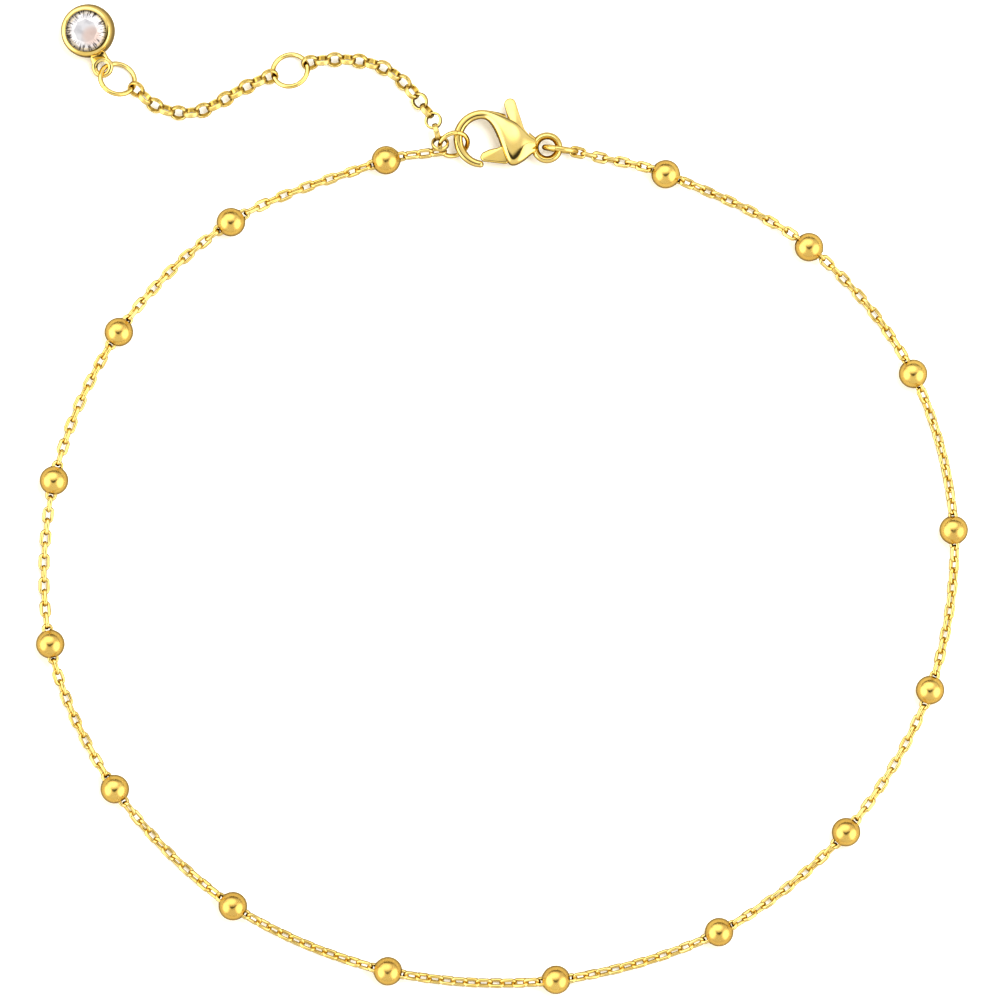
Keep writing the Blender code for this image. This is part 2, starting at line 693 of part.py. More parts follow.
def stone_mesh(name):
    """A round brilliant about Z with its girdle's lower edge at Z = 0."""
    radius = STONE_DIAMETER / 2
    builder = bmesh.new()

    def ring(share, height, count, offset):
        for i in range(count):
            angle = 2 * math.pi * (i + offset) / count
            builder.verts.new(direction(angle) * radius * share + Vector((0, 0, height)))

    ring(0.56, GIRDLE_HEIGHT + CROWN_HEIGHT, 8, 0.5)
    ring(0.82, GIRDLE_HEIGHT + CROWN_HEIGHT * 0.50, 8, 0.0)
    ring(1.0, GIRDLE_HEIGHT, 16, 0.0)
    ring(1.0, 0.0, 16, 0.0)
    ring(0.28, -PAVILION_DEPTH * 0.76, 8, 0.5)
    builder.verts.new((0, 0, -PAVILION_DEPTH))
    bmesh.ops.convex_hull(builder, input=builder.verts)
    bmesh.ops.recalc_face_normals(builder, faces=builder.faces)
    mesh = bpy.data.meshes.new(name)
    builder.to_mesh(mesh)
    builder.free()
    return mesh


def build_drop(group, cutters, gold, crystal, end_ring):
    """The leaning bezel cup with its soldered loop round the end ring, and the stone in it."""
    ring_mean = (EXTENDER_RING_DIAMETER - EXTENDER_RING_WIRE) / 2
    loop_centre = point_on_ring(end_ring, LOOP_FROM_RING, ring_mean)
    axis = direction(DROP_LEAN_HEADING + math.pi / 2)
    lean = Matrix.Rotation(DROP_LEAN, 4, axis)
    seat = CUP_HEIGHT - CROWN_HEIGHT - GIRDLE_HEIGHT + LIP_THICKNESS
    back_drop = CUP_BACK_DIAMETER / 2 * math.sin(DROP_LEAN)

    centre = loop_centre + direction(DROP_HEADING) * LOOP_REACH
    centre.z = back_drop
    frame = Matrix.Translation(centre) @ lean
    cup = add_object("drop_bezel", profile_mesh("drop_bezel", cup_profile(seat), False), group, gold, frame)
    add_turning(cup, RING_SIDES)

    loop_local = frame.inverted() @ loop_centre
    loop_frame = frame @ Matrix.Translation(loop_local)
    loop = add_object(
        "drop_loop", ring_mesh("drop_loop", LOOP_DIAMETER, LOOP_WIRE, LOOP_WIRE, 20),
        cutters, gold, loop_frame,
    )
    add_boolean(cup, loop, "UNION")

    way = Vector((loop_local.x, loop_local.y, 0.0))
    inner = CUP_DIAMETER / 2 - LOOP_NECK_SINK
    outer = way.length - LOOP_DIAMETER / 2 + LOOP_WIRE * 0.75
    bpy.ops.mesh.primitive_cube_add(size=1)
    neck = bpy.context.object
    neck.name = "drop_neck"
    neck.data.transform(Matrix.Diagonal((outer - inner, LOOP_NECK_WIDTH, LOOP_NECK_THICKNESS, 1)))
    turn = Matrix.Rotation(math.atan2(way.y, way.x), 4, "Z")
    middle = way.normalized() * (inner + outer) / 2 + Vector((0, 0, loop_local.z))
    neck_frame = frame @ Matrix.Translation(middle) @ turn
    neck.location = neck_frame.to_translation()
    neck.rotation_euler = neck_frame.to_euler()
    for owner in list(neck.users_collection):
        owner.objects.unlink(neck)
    cutters.objects.link(neck)
    add_boolean(cup, neck, "UNION")

    add_object(
        "drop_stone", stone_mesh("drop_stone"), group, crystal, frame @ Matrix.Translation((0, 0, seat))
    )


def main():
    for obj in list(bpy.data.objects):
        bpy.data.objects.remove(obj)
    group = bpy.data.collections.new("chain_anklet")
    cutters = bpy.data.collections.new("cutters")
    bpy.context.scene.collection.children.link(group)
    bpy.context.scene.collection.children.link(cutters)

    gold = make_material("gold", (0.90, 0.62, 0.20), 1.0, 0.18)
    steel = make_material("pin_gold", (0.85, 0.60, 0.22), 1.0, 0.30)
    crystal = make_material("clear_crystal", (0.95, 0.94, 0.96), 0.0, 0.02)

    clasp = build_clasp(group, cutters, gold, steel)
    clasp_point = build_clasp_ring(group, gold, clasp)
    joining_ring = build_joining_ring(group, gold, clasp)
    build_main_chain(group, gold, joining_ring, clasp_point)
    end_ring = build_extender(group, gold, joining_ring)
    build_drop(group, cutters, gold, crystal, end_ring)

    carrier = bpy.data.objects.new("anklet", None)
    group.objects.link(carrier)
    for obj in group.objects:
        if obj is not carrier:
            obj.parent = carrier


main()
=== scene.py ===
"""The looks of a chain anklet in a studio: cable chain, beads, clasp, extender and bezel drop.

All sizes are in metres. The anklet lies flat, and the clasp and the extender are at the +Y end.
"""

import json
import math

import bmesh
import bpy
import numpy as np
from bpy.props import FloatProperty, FloatVectorProperty, IntProperty, PointerProperty
from mathutils import Matrix, Vector


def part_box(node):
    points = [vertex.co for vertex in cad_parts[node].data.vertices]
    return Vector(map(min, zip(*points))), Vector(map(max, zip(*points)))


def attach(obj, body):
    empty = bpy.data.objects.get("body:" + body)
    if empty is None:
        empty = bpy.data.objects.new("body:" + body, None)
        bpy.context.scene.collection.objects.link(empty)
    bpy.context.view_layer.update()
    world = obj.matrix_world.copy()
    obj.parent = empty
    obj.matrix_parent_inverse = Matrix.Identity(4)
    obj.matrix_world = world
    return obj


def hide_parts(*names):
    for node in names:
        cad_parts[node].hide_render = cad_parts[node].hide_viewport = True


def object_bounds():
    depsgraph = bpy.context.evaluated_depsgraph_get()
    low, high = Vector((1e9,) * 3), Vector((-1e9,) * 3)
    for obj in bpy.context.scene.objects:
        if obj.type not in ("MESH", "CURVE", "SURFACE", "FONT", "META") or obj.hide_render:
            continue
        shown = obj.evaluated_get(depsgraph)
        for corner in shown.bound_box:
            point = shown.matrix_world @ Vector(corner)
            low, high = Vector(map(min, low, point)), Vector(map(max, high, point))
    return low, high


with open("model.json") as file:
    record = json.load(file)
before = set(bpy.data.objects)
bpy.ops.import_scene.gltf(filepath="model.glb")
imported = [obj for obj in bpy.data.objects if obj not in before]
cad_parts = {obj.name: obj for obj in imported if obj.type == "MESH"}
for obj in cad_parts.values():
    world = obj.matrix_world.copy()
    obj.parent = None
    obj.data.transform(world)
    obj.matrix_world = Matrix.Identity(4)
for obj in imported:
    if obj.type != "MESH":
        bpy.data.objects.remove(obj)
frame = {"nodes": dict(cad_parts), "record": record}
CAD_BOX = [list(corner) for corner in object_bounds()]

bl_info = {
    "name": "Chain Anklet",
    "version": (1, 0, 0),
    "blender": (4, 5, 0),
    "location": "View3D > Sidebar > Anklet",
    "description": "Models the links, beads, clasp and drop of a chain anklet, and its studio",
    "category": "Object",
}

MM = 0.001
BEADS = sorted(name for name in frame["nodes"] if name.startswith("bead_"))
ROLO_LINKS = sorted(name for name in frame["nodes"] if name.startswith("extender_link_"))

# Turn of the cable chain's links about its way, in degrees: at the first link, at each bead and at
# the last link. Every second link is turned 90 degrees more.
CHAIN_TURNS = [45, 52, 76, 62, 78, 70, 60, 45, 45, 45, 50, 65, 60, 45, 32, 12, 38, 0]
LINKS_PER_STRETCH = 14

# The extender's first links twist from one lean to the other, and those after them lean in turns
TWISTED_LINKS = 6

# Steps round the curved pieces
BEAD_SIDES, BEAD_RINGS = 48, 24
WIRE_SIDES, RING_SIDES = 16, 60
ROLO_SIDES, CUP_SIDES, ARC_STEPS = 40, 72, 14

# Sections of the clasp's bulged body from the hook's top to the eye: how far along from the hook's
# centre to the eye's, upper and lower side as shares of the clasp's width above the eye's centre,
# and a share of its thickness
BODY_SECTIONS = [
    (0.085, 0.643, 0.471, 0.45),
    (0.194, 0.624, 0.292, 0.63),
    (0.271, 0.604, 0.051, 0.80),
    (0.349, 0.580, -0.171, 0.92),
    (0.411, 0.549, -0.306, 0.98),
    (0.504, 0.498, -0.310, 1.00),
    (0.581, 0.445, -0.271, 0.96),
    (0.659, 0.351, -0.214, 0.86),
    (0.736, 0.257, -0.137, 0.70),
    (0.798, 0.200, -0.082, 0.53),
    (0.850, 0.155, -0.051, 0.41),
]

# Corners of the lever's gate, seen from the pivot: x as a share of the way from the hook's centre
# to the eye's, y as a share of the clasp's width
GATE_CORNERS = {
    "crook": (-0.085, 0.010),
    "upper": (-0.341, -0.137),
    "brow": (-0.480, -0.170),
    "tip_upper": (-0.585, -0.225),
    "tip": (-0.620, -0.300),
    "tip_lower": (-0.581, -0.370),
    "heel": (-0.205, -0.416),
}

# How the pieces are plated: colour, polish, times that roughness, grain, how far painted shade
# darkens the steep flanks, and the painted shade's colour
GOLDS = {
    "satin_gold": ("bead_gold", "satin", 1.0, 0.25, 0.35, "flank_gold"),
    "chain_gold": ("gold", "polished", 1.0, 0.3, 1.0, "flank_gold"),
    "ring_gold": ("gold", "polished", 1.0, 0.3, 1.0, "flank_gold"),
    "extender_gold": ("gold", "satin", 1.5, 0.3, 0.7, "wall_gold"),
    # The inside of the extender's links is painted shade, darkened further on its flanks
    "extender_inside_gold": ("flank_gold", "polished", 2.0, 0.3, 0.8, "wall_gold"),
    "clasp_gold": ("gold", "polished", 1.0, 0.2, 0.8, "flank_gold"),
    "drop_gold": ("gold", "polished", 1.0, 0.25, 0.4, "flank_gold"),
}

# Grain of the plating: clouds of deeper colour and fine handling marks, in turns a metre
CLOUD_SCALE, MARK_SCALE = 420.0, 5200.0

# The key light's place, size and colour
KEY_PLACE = (0.20, 0.18, 0.48)
KEY_SIZE = 0.34
KEY_COLOUR = (0.88, 0.95, 1.0)

# Bright panels of the light tent as a polished bead shows them: centre, half sizes and power
TENT_PANELS = [
    (-0.50, -0.08, 0.26, 0.36, 1.0),
    (0.48, -0.16, 0.26, 0.36, 1.0),
    (-0.10, 0.34, 0.34, 0.22, 0.8),
]

# Dark seams of the light tent: where they start, where each ends and how wide it is
SEAM_START = (-0.03, -0.11)
TENT_SEAMS = [(0.36, 0.12, 0.075), (-0.29, 0.05, 0.070)]


def measure(name, description, default, **limits):
    """A number that a user can change."""
    return FloatProperty(name=name, description=description, default=default, **limits)


def length(name, description, millimetres):
    """A size."""
    return measure(name, description, millimetres * MM, min=0.0, precision=5, unit="LENGTH")


def offset(name, description, millimetres):
    """A place on either side of the middle."""
    return measure(name, description, millimetres * MM, precision=5, unit="LENGTH")


def angle(name, description, degrees):
    """An angle."""
    return measure(name, description, math.radians(degrees), precision=3, unit="ROTATION")


def share(name, description, default):
    """A plain share or factor."""
    return measure(name, description, default, min=0.0, subtype="FACTOR")


def colour(name, description, default):
    """A colour that a user can change."""
    return FloatVectorProperty(
        name=name, description=description, default=default, min=0.0, max=1.0, subtype="COLOR"
    )


class AnkletChainSizes(bpy.types.PropertyGroup):
    """Sizes of the beads and of the cable chain"""

    bead_diameter: length("Bead diameter", "Outer diameter of a bead", 2.40)
    bead_hole: length("Bead hole", "Diameter of the hole that the chain runs through", 1.06)
    link_length: length("Link length", "Outer length of an oval cable link", 1.54)
    link_width: length("Link width", "Outer width of an oval cable link", 1.00)
    link_wire: length("Link wire", "Wire thickness of a cable link", 0.31)
    link_sides: IntProperty(name="Link sides", description="Steps round a cable link", default=24)


class AnkletRingSizes(bpy.types.PropertyGroup):
    """Sizes of the extender's links and of the jump rings"""

    rolo_diameter: length("Rolo diameter", "Outer diameter of an extender link", 1.50)
    rolo_wall: length("Rolo wall", "Radial thickness of an extender link", 0.20)
    rolo_band: length("Rolo band", "Width of an extender link's flat band", 0.42)
    rolo_lean: angle("Rolo lean", "How much steeper every second extender link stands", 20)
    clasp_diameter: length("Clasp ring", "Outer diameter of the ring in the clasp's eye", 3.11)
    clasp_wire: length("Clasp ring wire", "Wire of the ring in the clasp's eye", 0.45)
    joining_diameter: length("Joining ring", "Outer diameter of the ring on the hook", 2.80)
    joining_wire: length("Joining ring wire", "Wire of the ring on the hook", 0.38)
    extender_diameter: length("Extender ring", "Outer diameter of the extender's two rings", 3.35)
    extender_wire: length("Extender ring wire", "Wire of the extender's two rings", 0.40)
    seam: length("Ring seam", "Gap where a jump ring's ends meet", 0.03)


class AnkletClaspSizes(bpy.types.PropertyGroup):
    """Sizes of the lobster clasp"""

    eye_x: length("Eye X", "Where the eye's centre is along X", 3.78)
    eye_y: length("Eye Y", "Where the eye's centre is along Y", 29.43)
    eye_span: length("Eye span", "From the hook's centre to the eye's along the clasp", 5.42)
    width: length("Width", "Outer width of the hook", 4.90)
    thickness: length("Thickness", "Greatest thickness of the bulged body", 2.45)
    hook_stock: length("Hook stock", "Width of the hook's stock in plan", 0.78)
    hook_tip: length("Hook tip", "Width of the hook's tip in plan", 0.56)
    hook_thickness: length("Hook thickness", "Thickness of the hook", 0.95)
    hook_rise: share("Hook rise", "Hook's height over the eye, as a share of the width", 0.155)
    tip_angle: angle("Tip angle", "Where the hook ends, about its centre", 273)
    eye_diameter: length("Eye diameter", "Outer diameter of the eye", 2.60)
    eye_hole: length("Eye hole", "Hole of the eye", 1.40)
    eye_thickness: length("Eye thickness", "Thickness of the eye", 0.80)
    lever_thickness: length("Lever thickness", "Thickness of the lever", 0.90)
    lever_clearance: length("Lever clearance", "Room between the lever and its slot", 0.12)
    lever_travel: angle("Lever travel", "How far the lever turns", 22)
    pivot_along: share("Pivot along", "Pivot's place from the hook's centre to the eye's", 0.581)
    pivot_rise: share("Pivot rise", "Pivot's height over the eye, as a share of the width", 0.137)
    pin_diameter: length("Pin diameter", "Diameter of the pivot pin", 0.50)
    hub_diameter: length("Hub diameter", "Diameter of the lever's hub", 1.20)
    tab_width: length("Tab width", "Width of the thumb tab", 1.00)
    tab_reach: length("Tab reach", "From the pivot to the tab's end", 3.60)
    tab_heading: angle("Tab heading", "Direction of the tab in plan", 105.5)
    tab_round: length("Tab rounding", "Radius of the thumb tab's edges", 0.32)
    lever_fall: share("Lever fall", "How steeply the tab and the gate thin out", 0.18)
    fullness: share("Fullness", "How square the hook's and the body's sections are", 2.7)
    crown_shift: share("Crown shift", "Crown's shift off the middle, in half widths", 0.48)


class AnkletDropSizes(bpy.types.PropertyGroup):
    """Sizes of the bezel drop"""

    cup_diameter: length("Cup diameter", "Greatest diameter of the cup", 4.50)
    cup_height: length("Cup height", "Height of the cup", 2.10)
    cup_back: length("Cup back", "Diameter of the cup's flat back", 3.10)
    cup_widest: length("Cup widest", "Height of the cup's widest line", 0.80)
    stone_diameter: length("Stone diameter", "Diameter of the stone's girdle", 3.56)
    lip: length("Lip", "Thickness of the rim over the stone", 0.12)
    crown: length("Crown", "Height of the stone above its girdle", 0.50)
    girdle: length("Girdle", "Height of the stone's girdle", 0.10)
    pavilion: length("Pavilion", "Depth of the stone below its girdle", 1.05)
    heading: angle("Heading", "Direction from the loop to the cup", 109.2)
    reach: length("Reach", "From the loop's centre to the cup's", 3.24)
    loop_diameter: length("Loop diameter", "Outer diameter of the soldered loop", 1.84)
    loop_wire: length("Loop wire", "Wire of the soldered loop", 0.47)
    neck_width: length("Neck width", "Width of the solder between the loop and the cup", 1.30)


class AnkletFinish(bpy.types.PropertyGroup):
    """Colours and polish of the anklet"""

    gold: colour("Gold", "Colour of the plating", (0.94, 0.77, 0.36))
    deep_gold: colour("Deep gold", "Colour of the plating's darker streaks", (0.90, 0.69, 0.25))
    bead_gold: colour("Bead gold", "Colour of the beads' plating", (0.80, 0.57, 0.20))
    # Painted shade: the colour of steep flanks and of the extender's hollows
    flank_gold: colour("Flank gold", "Colour of the plating on steep flanks", (0.55, 0.39, 0.10))
    # Painted shade, darker still, on the flanks deep in the extender's links
    wall_gold: colour("Wall gold", "Colour deep in the extender's links", (0.20, 0.15, 0.05))
    polished: share("Polished", "Roughness of the polished pieces", 0.09)
    satin: share("Satin", "Roughness of the beads", 0.24)
    stone: colour("Stone", "Tint of the stone", (0.70, 0.69, 0.73))
    # Painted reflection: a warm glint painted into the stone's colour
    stone_veil: colour("Stone veil", "Greyer clouds in the stone", (0.44, 0.43, 0.47))
    stone_blush: colour("Stone blush", "Warm glint in the stone", (0.66, 0.50, 0.45))
    # Painted reflections: dark glints painted near the stone's edge
    stone_dark: colour("Stone dark", "Dark glints near the stone's edge", (0.10, 0.09, 0.10))


class AnkletStudio(bpy.types.PropertyGroup):
    """The camera, the lights and the card that the anklet lies on"""

    field: length("Field", "Width of what the camera sees", 84.0)
    lens: measure("Lens", "Focal length in millimetres", 300.0, unit="CAMERA")
    centre_x: offset("Centre X", "View's centre along X", -0.168)
    centre_y: offset("Centre Y", "View's centre along Y", -0.134)
    floor: colour("Floor", "Colour of the surface", (0.90, 0.895, 0.885))
    # Painted reflection: the card as polished metal mirrors it, darker than it looks, with painted
    # shade where metal mirrors it steeply
    mirrored_floor_painted_tone: colour("Low floor", "Surface as polished metal mirrors it", (0.56, 0.51, 0.42))
    mirrored_floor_painted_shade: colour("Under floor", "Surface close under the metal", (0.24, 0.21, 0.16))
    card_glow: share("Card glow", "Light that comes through the surface", 0.16)
    glow: colour("Glow", "Colour of the light through the surface", (1.0, 0.91, 0.74))
    key_power: measure("Key power", "Power of the key light", 1.8, unit="POWER")
    tent: share("Tent", "Brightness of the light tent", 1.10)


class Value:
    """A shader's number that works in sums."""

    def __init__(self, shader, socket):
        self.shader = shader
        self.socket = socket

    def maths(self, operation, *others):
        settings = {"operation": operation}
        return self.shader.node("ShaderNodeMath", settings, [self, *others])["Value"]

    def __add__(self, other):
        return self.maths("ADD", other)

    __radd__ = __add__

    def __sub__(self, other):
        return self.maths("SUBTRACT", other)

    def __rsub__(self, other):
        return self * -1 + other

    def __mul__(self, other):
        return self.maths("MULTIPLY", other)

    __rmul__ = __mul__

    def __truediv__(self, other):
        return self.maths("DIVIDE", other)


class Shader:
    """Nodes of a material or a world."""

    def __init__(self, owner, main):
        owner.use_nodes = True
        self.tree = owner.node_tree
        self.main = self.tree.nodes[main]

    def node(self, kind, settings=None, inputs=None):
        """Adds a node and returns its outputs. Inputs go by name or by place."""
        made = self.tree.nodes.new(kind)
        for name, setting in (settings or {}).items():
            setattr(made, name, setting)
        pairs = inputs.items() if isinstance(inputs, dict) else enumerate(inputs or [])
        for name, given in pairs:
            self.feed(made.inputs[name], given)
        found = {}
        for output in made.outputs:
            if output.enabled:
                name = output.identifier if output.name == "Result" else output.name
                found[name] = Value(self, output)
        return found

    def feed(self, socket, given):
        """Links a value to a socket, or sets it."""
        if isinstance(given, Value):
            self.tree.links.new(given.socket, socket)
        elif hasattr(socket.default_value, "__len__") and len(given) < len(socket.default_value):
            socket.default_value = (*given, 1.0)
        else:
            socket.default_value = given

    def feed_main(self, inputs):
        """Feeds the inputs of the main node."""
        for name, given in inputs.items():
            self.feed(self.main.inputs[name], given)

    def mask(self, value, low, high):
        """0 below low and 1 above high, with a soft step between."""
        settings = {"interpolation_type": "SMOOTHSTEP"}
        inputs = {"Value": value, "From Min": low, "From Max": high}
        return self.node("ShaderNodeMapRange", settings, inputs)["Result"]

    def mix(self, share_of_second, first, second):
        """A colour between two others."""
        settings = {"data_type": "RGBA"}
        outputs = self.node("ShaderNodeMix", settings, {0: share_of_second, 6: first, 7: second})
        return outputs["Result_Color"]

    def noise(self, coordinates, scale, detail=3.0):
        """Cloudy grain from 0 to 1."""
        inputs = {"Vector": coordinates, "Scale": scale, "Detail": detail}
        return self.node("ShaderNodeTexNoise", {}, inputs)["Fac"]

    def axes(self, vector):
        """The X, Y and Z of a vector."""
        outputs = self.node("ShaderNodeSeparateXYZ", {}, [vector])
        return [outputs[axis] for axis in "XYZ"]

    def place(self, output="Object"):
        """Where a point is on its object, or the way that light comes from."""
        return self.node("ShaderNodeTexCoord")[output]


def gold_material(name):
    """Gold plating: streaks of deeper colour, painted shade on steep flanks, uneven polish and
    handling marks.
    """
    finish = bpy.context.scene.anklet_finish
    tint, polish, times, grain, painted_shade_share, painted_shade_tint = GOLDS[name]
    roughness = getattr(finish, polish) * times
    material = bpy.data.materials.new(name)
    shader = Shader(material, "Principled BSDF")
    place = shader.place()
    marks = shader.noise(place, MARK_SCALE, 2.0)
    streaks = shader.mask(shader.noise(place, CLOUD_SCALE), 0.35, 0.70)
    # Painted shade: faces that stand steep, by their normal's Z, take a darker colour
    up = shader.axes(shader.node("ShaderNodeNewGeometry")["Normal"])[2]
    painted_flank_shade = (1 - shader.mask(up.maths("ABSOLUTE"), 0.25, 0.80)) * painted_shade_share
    plating = shader.mix(streaks * 0.8, getattr(finish, tint), finish.deep_gold)
    wear = shader.mask(marks, 0.40, 0.75) * (2.0 * roughness * grain)
    relief = {"Strength": 0.05, "Distance": 0.01 * MM, "Height": marks}
    shader.feed_main({
        "Base Color": shader.mix(painted_flank_shade, plating, getattr(finish, painted_shade_tint)),
        "Roughness": roughness * (1.0 - grain) + wear,
        "Metallic": 1.0,
        "Normal": shader.node("ShaderNodeBump", {}, relief)["Normal"],
    })
    return material


def stone_material(centre, radius):
    """Clear stone as it looks from above: pale facets, a painted warm glint and painted dark glints
    at its edge.
    """
    finish = bpy.context.scene.anklet_finish
    material = bpy.data.materials.new("clear_stone")
    shader = Shader(material, "Principled BSDF")
    place = shader.place()
    along, across, _ = shader.axes(place)
    x, y = (along - centre.x) / radius, (across - centre.y) / radius
    out = (x * x + y * y).maths("SQRT")
    turn = y.maths("ARCTAN2", x)
    ray = shader.node("ShaderNodeCombineXYZ", {}, [turn * 6.0, out * 1.4, 0.0])["Vector"]
    streaks = shader.mask(shader.noise(ray, 2.2, 2.0), 0.50, 0.56)
    # Painted reflections: dark glints near the stone's edge
    painted_dark_glints = streaks * shader.mask(out, 0.50, 0.78)
    veil = shader.mask(shader.noise(place, 1600.0), 0.40, 0.75)
    # Painted reflection: a warm glint right of and below the middle
    right, down = x - 0.30, y + 0.25
    painted_glint = 1 - shader.mask(right * right + down * down, 0.04, 0.34)
    tint = shader.mix(veil * 0.6, finish.stone, finish.stone_veil)
    tint = shader.mix(painted_glint * 0.75, tint, finish.stone_blush)
    tint = shader.mix(painted_dark_glints * 0.9, tint, finish.stone_dark)
    shader.feed_main({"Base Color": tint, "Roughness": 0.03, "Metallic": 0.35})
    return material


def direction(turn):
    """Unit vector in plan at this angle from +X."""
    return Vector((math.cos(turn), math.sin(turn), 0.0))


def turn_from(point, turn):
    """How far about Z a point is from this angle."""
    return abs(math.remainder(math.atan2(point.y, point.x) - turn, 2 * math.pi))


def placement(centre, *axes):
    """A placement with these X, Y and Z axes."""
    return Matrix.Translation(centre) @ Matrix(axes).transposed().to_4x4()


def lying_frame(centre, along, turn):
    """Placement with X along a way and the Y axis turned about it from flat."""
    x_axis = along.normalized()
    side = Vector((0, 0, 1)).cross(x_axis).normalized()
    up = x_axis.cross(side)
    y_axis = side * math.cos(turn) + up * math.sin(turn)
    return placement(centre, x_axis, y_axis, x_axis.cross(y_axis))


def middle_of(node):
    """Centre of a CAD node's box."""
    low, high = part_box(node)
    return (low + high) / 2


def ring_frame(node):
    """Placement of a ring-shaped CAD node: Z through its hole, X close to the world's X."""
    corners = np.array([vertex.co for vertex in frame["nodes"][node].data.vertices])
    _, axes = np.linalg.eigh(np.cov(corners.T))
    spread = corners @ axes
    centre = Vector(axes @ ((spread.min(0) + spread.max(0)) / 2))
    z_axis = Vector(axes[:, 0])
    if z_axis.z < -0.01 or (abs(z_axis.z) <= 0.01 and z_axis.y < 0):
        z_axis.negate()
    x_axis = (Vector((1, 0, 0)) - z_axis * z_axis.x).normalized()
    return placement(centre, x_axis, z_axis.cross(x_axis), z_axis)


class Route:
    """The cable chain's way through the beads, lifted where beads and rings carry it."""

    STEPS = 24

    def __init__(self, bends, rest_height, holds, drop):
        flat = [Vector((point.x, point.y, 0.0)) for point in bends]
        plan = self.smooth(flat)
        reach = self.lengths(plan)
        self.points = []
        for point, run in zip(plan, reach):
            height = rest_height
            for i, bend in enumerate(bends):
                away = abs(run - reach[i * self.STEPS]) - holds[i]
                part = min(max(away / drop, 0.0), 1.0)
                height += (bend.z - rest_height) * (1 + math.cos(math.pi * part)) / 2
            self.points.append(Vector((point.x, point.y, height)))
        self.reach = self.lengths(self.points)

    def smooth(self, bends):
        """Points of a cubic curve through the bends."""
        last = len(bends) - 1
        found = [bends[0]]
        for i in range(last):
            start, end = bends[i], bends[i + 1]
            span = (end - start).length
            leave = (end - bends[max(i - 1, 0)]).normalized() * span
            arrive = (bends[min(i + 2, last)] - start).normalized() * span
            for step in range(1, self.STEPS + 1):
                t = step / self.STEPS
                found.append(
                    start * (2 * t**3 - 3 * t**2 + 1) + leave * (t**3 - 2 * t**2 + t)
                    + end * (3 * t**2 - 2 * t**3) + arrive * (t**3 - t**2)
                )
        return found

    def lengths(self, points):
        """How far along the way each point is."""
        found = [0.0]
        for near, far in zip(points, points[1:]):
            found.append(found[-1] + (far - near).length)
        return found

    def at(self, run):
        """The point that is this far along the way."""
        return Vector([float(np.interp(run, self.reach, axis)) for axis in zip(*self.points)])

    def heading(self, run, span):
        """The way's direction about a point."""
        low = min(max(run - span / 2, 0.0), self.reach[-1] - span)
        return (self.at(low + span) - self.at(low)).normalized()

    def bend_run(self, bend):
        """How far along the way a bend is."""
        return self.reach[bend * self.STEPS]


def start_edit():
    """Goes into edit mode on the active object with everything selected."""
    bpy.ops.object.mode_set(mode="EDIT")
    bpy.ops.mesh.select_all(action="SELECT")


def leave_edit():
    bpy.ops.object.mode_set(mode="OBJECT")


def close_edit():
    """Points the edited mesh's faces outwards and leaves edit mode."""
    bpy.ops.mesh.select_all(action="SELECT")
    bpy.ops.mesh.normals_make_consistent(inside=False)
    leave_edit()


def fresh():
    """Nothing selected, in object mode."""
    if bpy.context.object and bpy.context.object.mode != "OBJECT":
        leave_edit()
    bpy.ops.object.select_all(action="DESELECT")


def pick(*pieces):
    """Selects these pieces alone, the first as the active one."""
    fresh()
    for piece in pieces:
        piece.select_set(True)
    bpy.context.view_layer.objects.active = pieces[0]


def settle(piece):
    """Puts a piece's placement into its mesh."""
    piece.data.transform(piece.matrix_basis)
    piece.matrix_basis = Matrix.Identity(4)
    return piece


def choose(test):
    """Selects the edited mesh's vertices that pass the test, and what lies between them."""
    bpy.ops.mesh.select_mode(type="VERT")
    bpy.ops.mesh.select_all(action="DESELECT")
    builder = bmesh.from_edit_mesh(bpy.context.object.data)
    for vertex in builder.verts:
        vertex.select = test(vertex.co)
    builder.select_flush(True)
    bmesh.update_edit_mesh(bpy.context.object.data)


def finish_piece(piece, name, material, place=None, smooth_angle=None):
    """Names a modelled piece, puts it in its place and gives it its finish."""
    piece.name = piece.data.name = name
    settle(piece)
    if place is not None:
        piece.data.transform(place)
    piece.data.materials.clear()
    piece.data.materials.append(material)
    pick(piece)
    if smooth_angle is None:
        bpy.ops.object.shade_smooth()
    else:
        bpy.ops.object.shade_smooth_by_angle(angle=smooth_angle)
    return piece


def dress(piece, body, slot, *nodes):
    """Ties a piece to its CAD body and hides the nodes it stands for. The slot is not used."""
    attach(piece, body)
    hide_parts(*nodes)


def copy_at(pattern, name, place):
    """A copy of a pattern piece with its own mesh, at this placement."""
    copied = pattern.copy()
    copied.data = pattern.data.copy()
    copied.name = copied.data.name = name
    copied.data.transform(place)
    bpy.context.scene.collection.objects.link(copied)
    return copied


def discard(piece):
    """Removes a piece and its mesh once it has been used."""
    mesh = piece.data
    bpy.data.objects.remove(piece)
    bpy.data.meshes.remove(mesh)


def join_all(pieces, name):
    """One piece from several."""
    pick(*pieces)
    bpy.ops.object.join()
    joined = bpy.context.object
    joined.name = joined.data.name = name
    return joined


def use_modifier(piece, kind, **settings):
    """Adds a modifier with these settings and applies it."""
    pick(piece)
    modifier = piece.modifiers.new(kind.title(), kind)
    for name, setting in settings.items():
        setattr(modifier, name, setting)
    bpy.ops.object.modifier_apply(modifier=modifier.name)
    return piece


def combine(piece, other, operation):
    """Joins another solid to a piece, or cuts it out, and removes the other."""
    use_modifier(piece, "BOOLEAN", operation=operation, object=other, solver="EXACT")
    discard(other)
    return piece


def cylinder(radius, depth, centre, sides):
    """An upright cylinder about this centre."""
    fresh()
    bpy.ops.mesh.primitive_cylinder_add(vertices=sides, radius=radius, depth=depth, location=centre)
    return settle(bpy.context.object)


def ring(diameter, wall, band, sides, wire_sides=WIRE_SIDES):
    """A ring about Z of round or flattened wire."""
    fresh()
    bpy.ops.mesh.primitive_torus_add(
        major_segments=sides, minor_segments=wire_sides,
        major_radius=(diameter - wall) / 2, minor_radius=wall / 2,
    )
    start_edit()
    bpy.ops.transform.resize(value=(1, 1, band / wall))
    leave_edit()
    return bpy.context.object


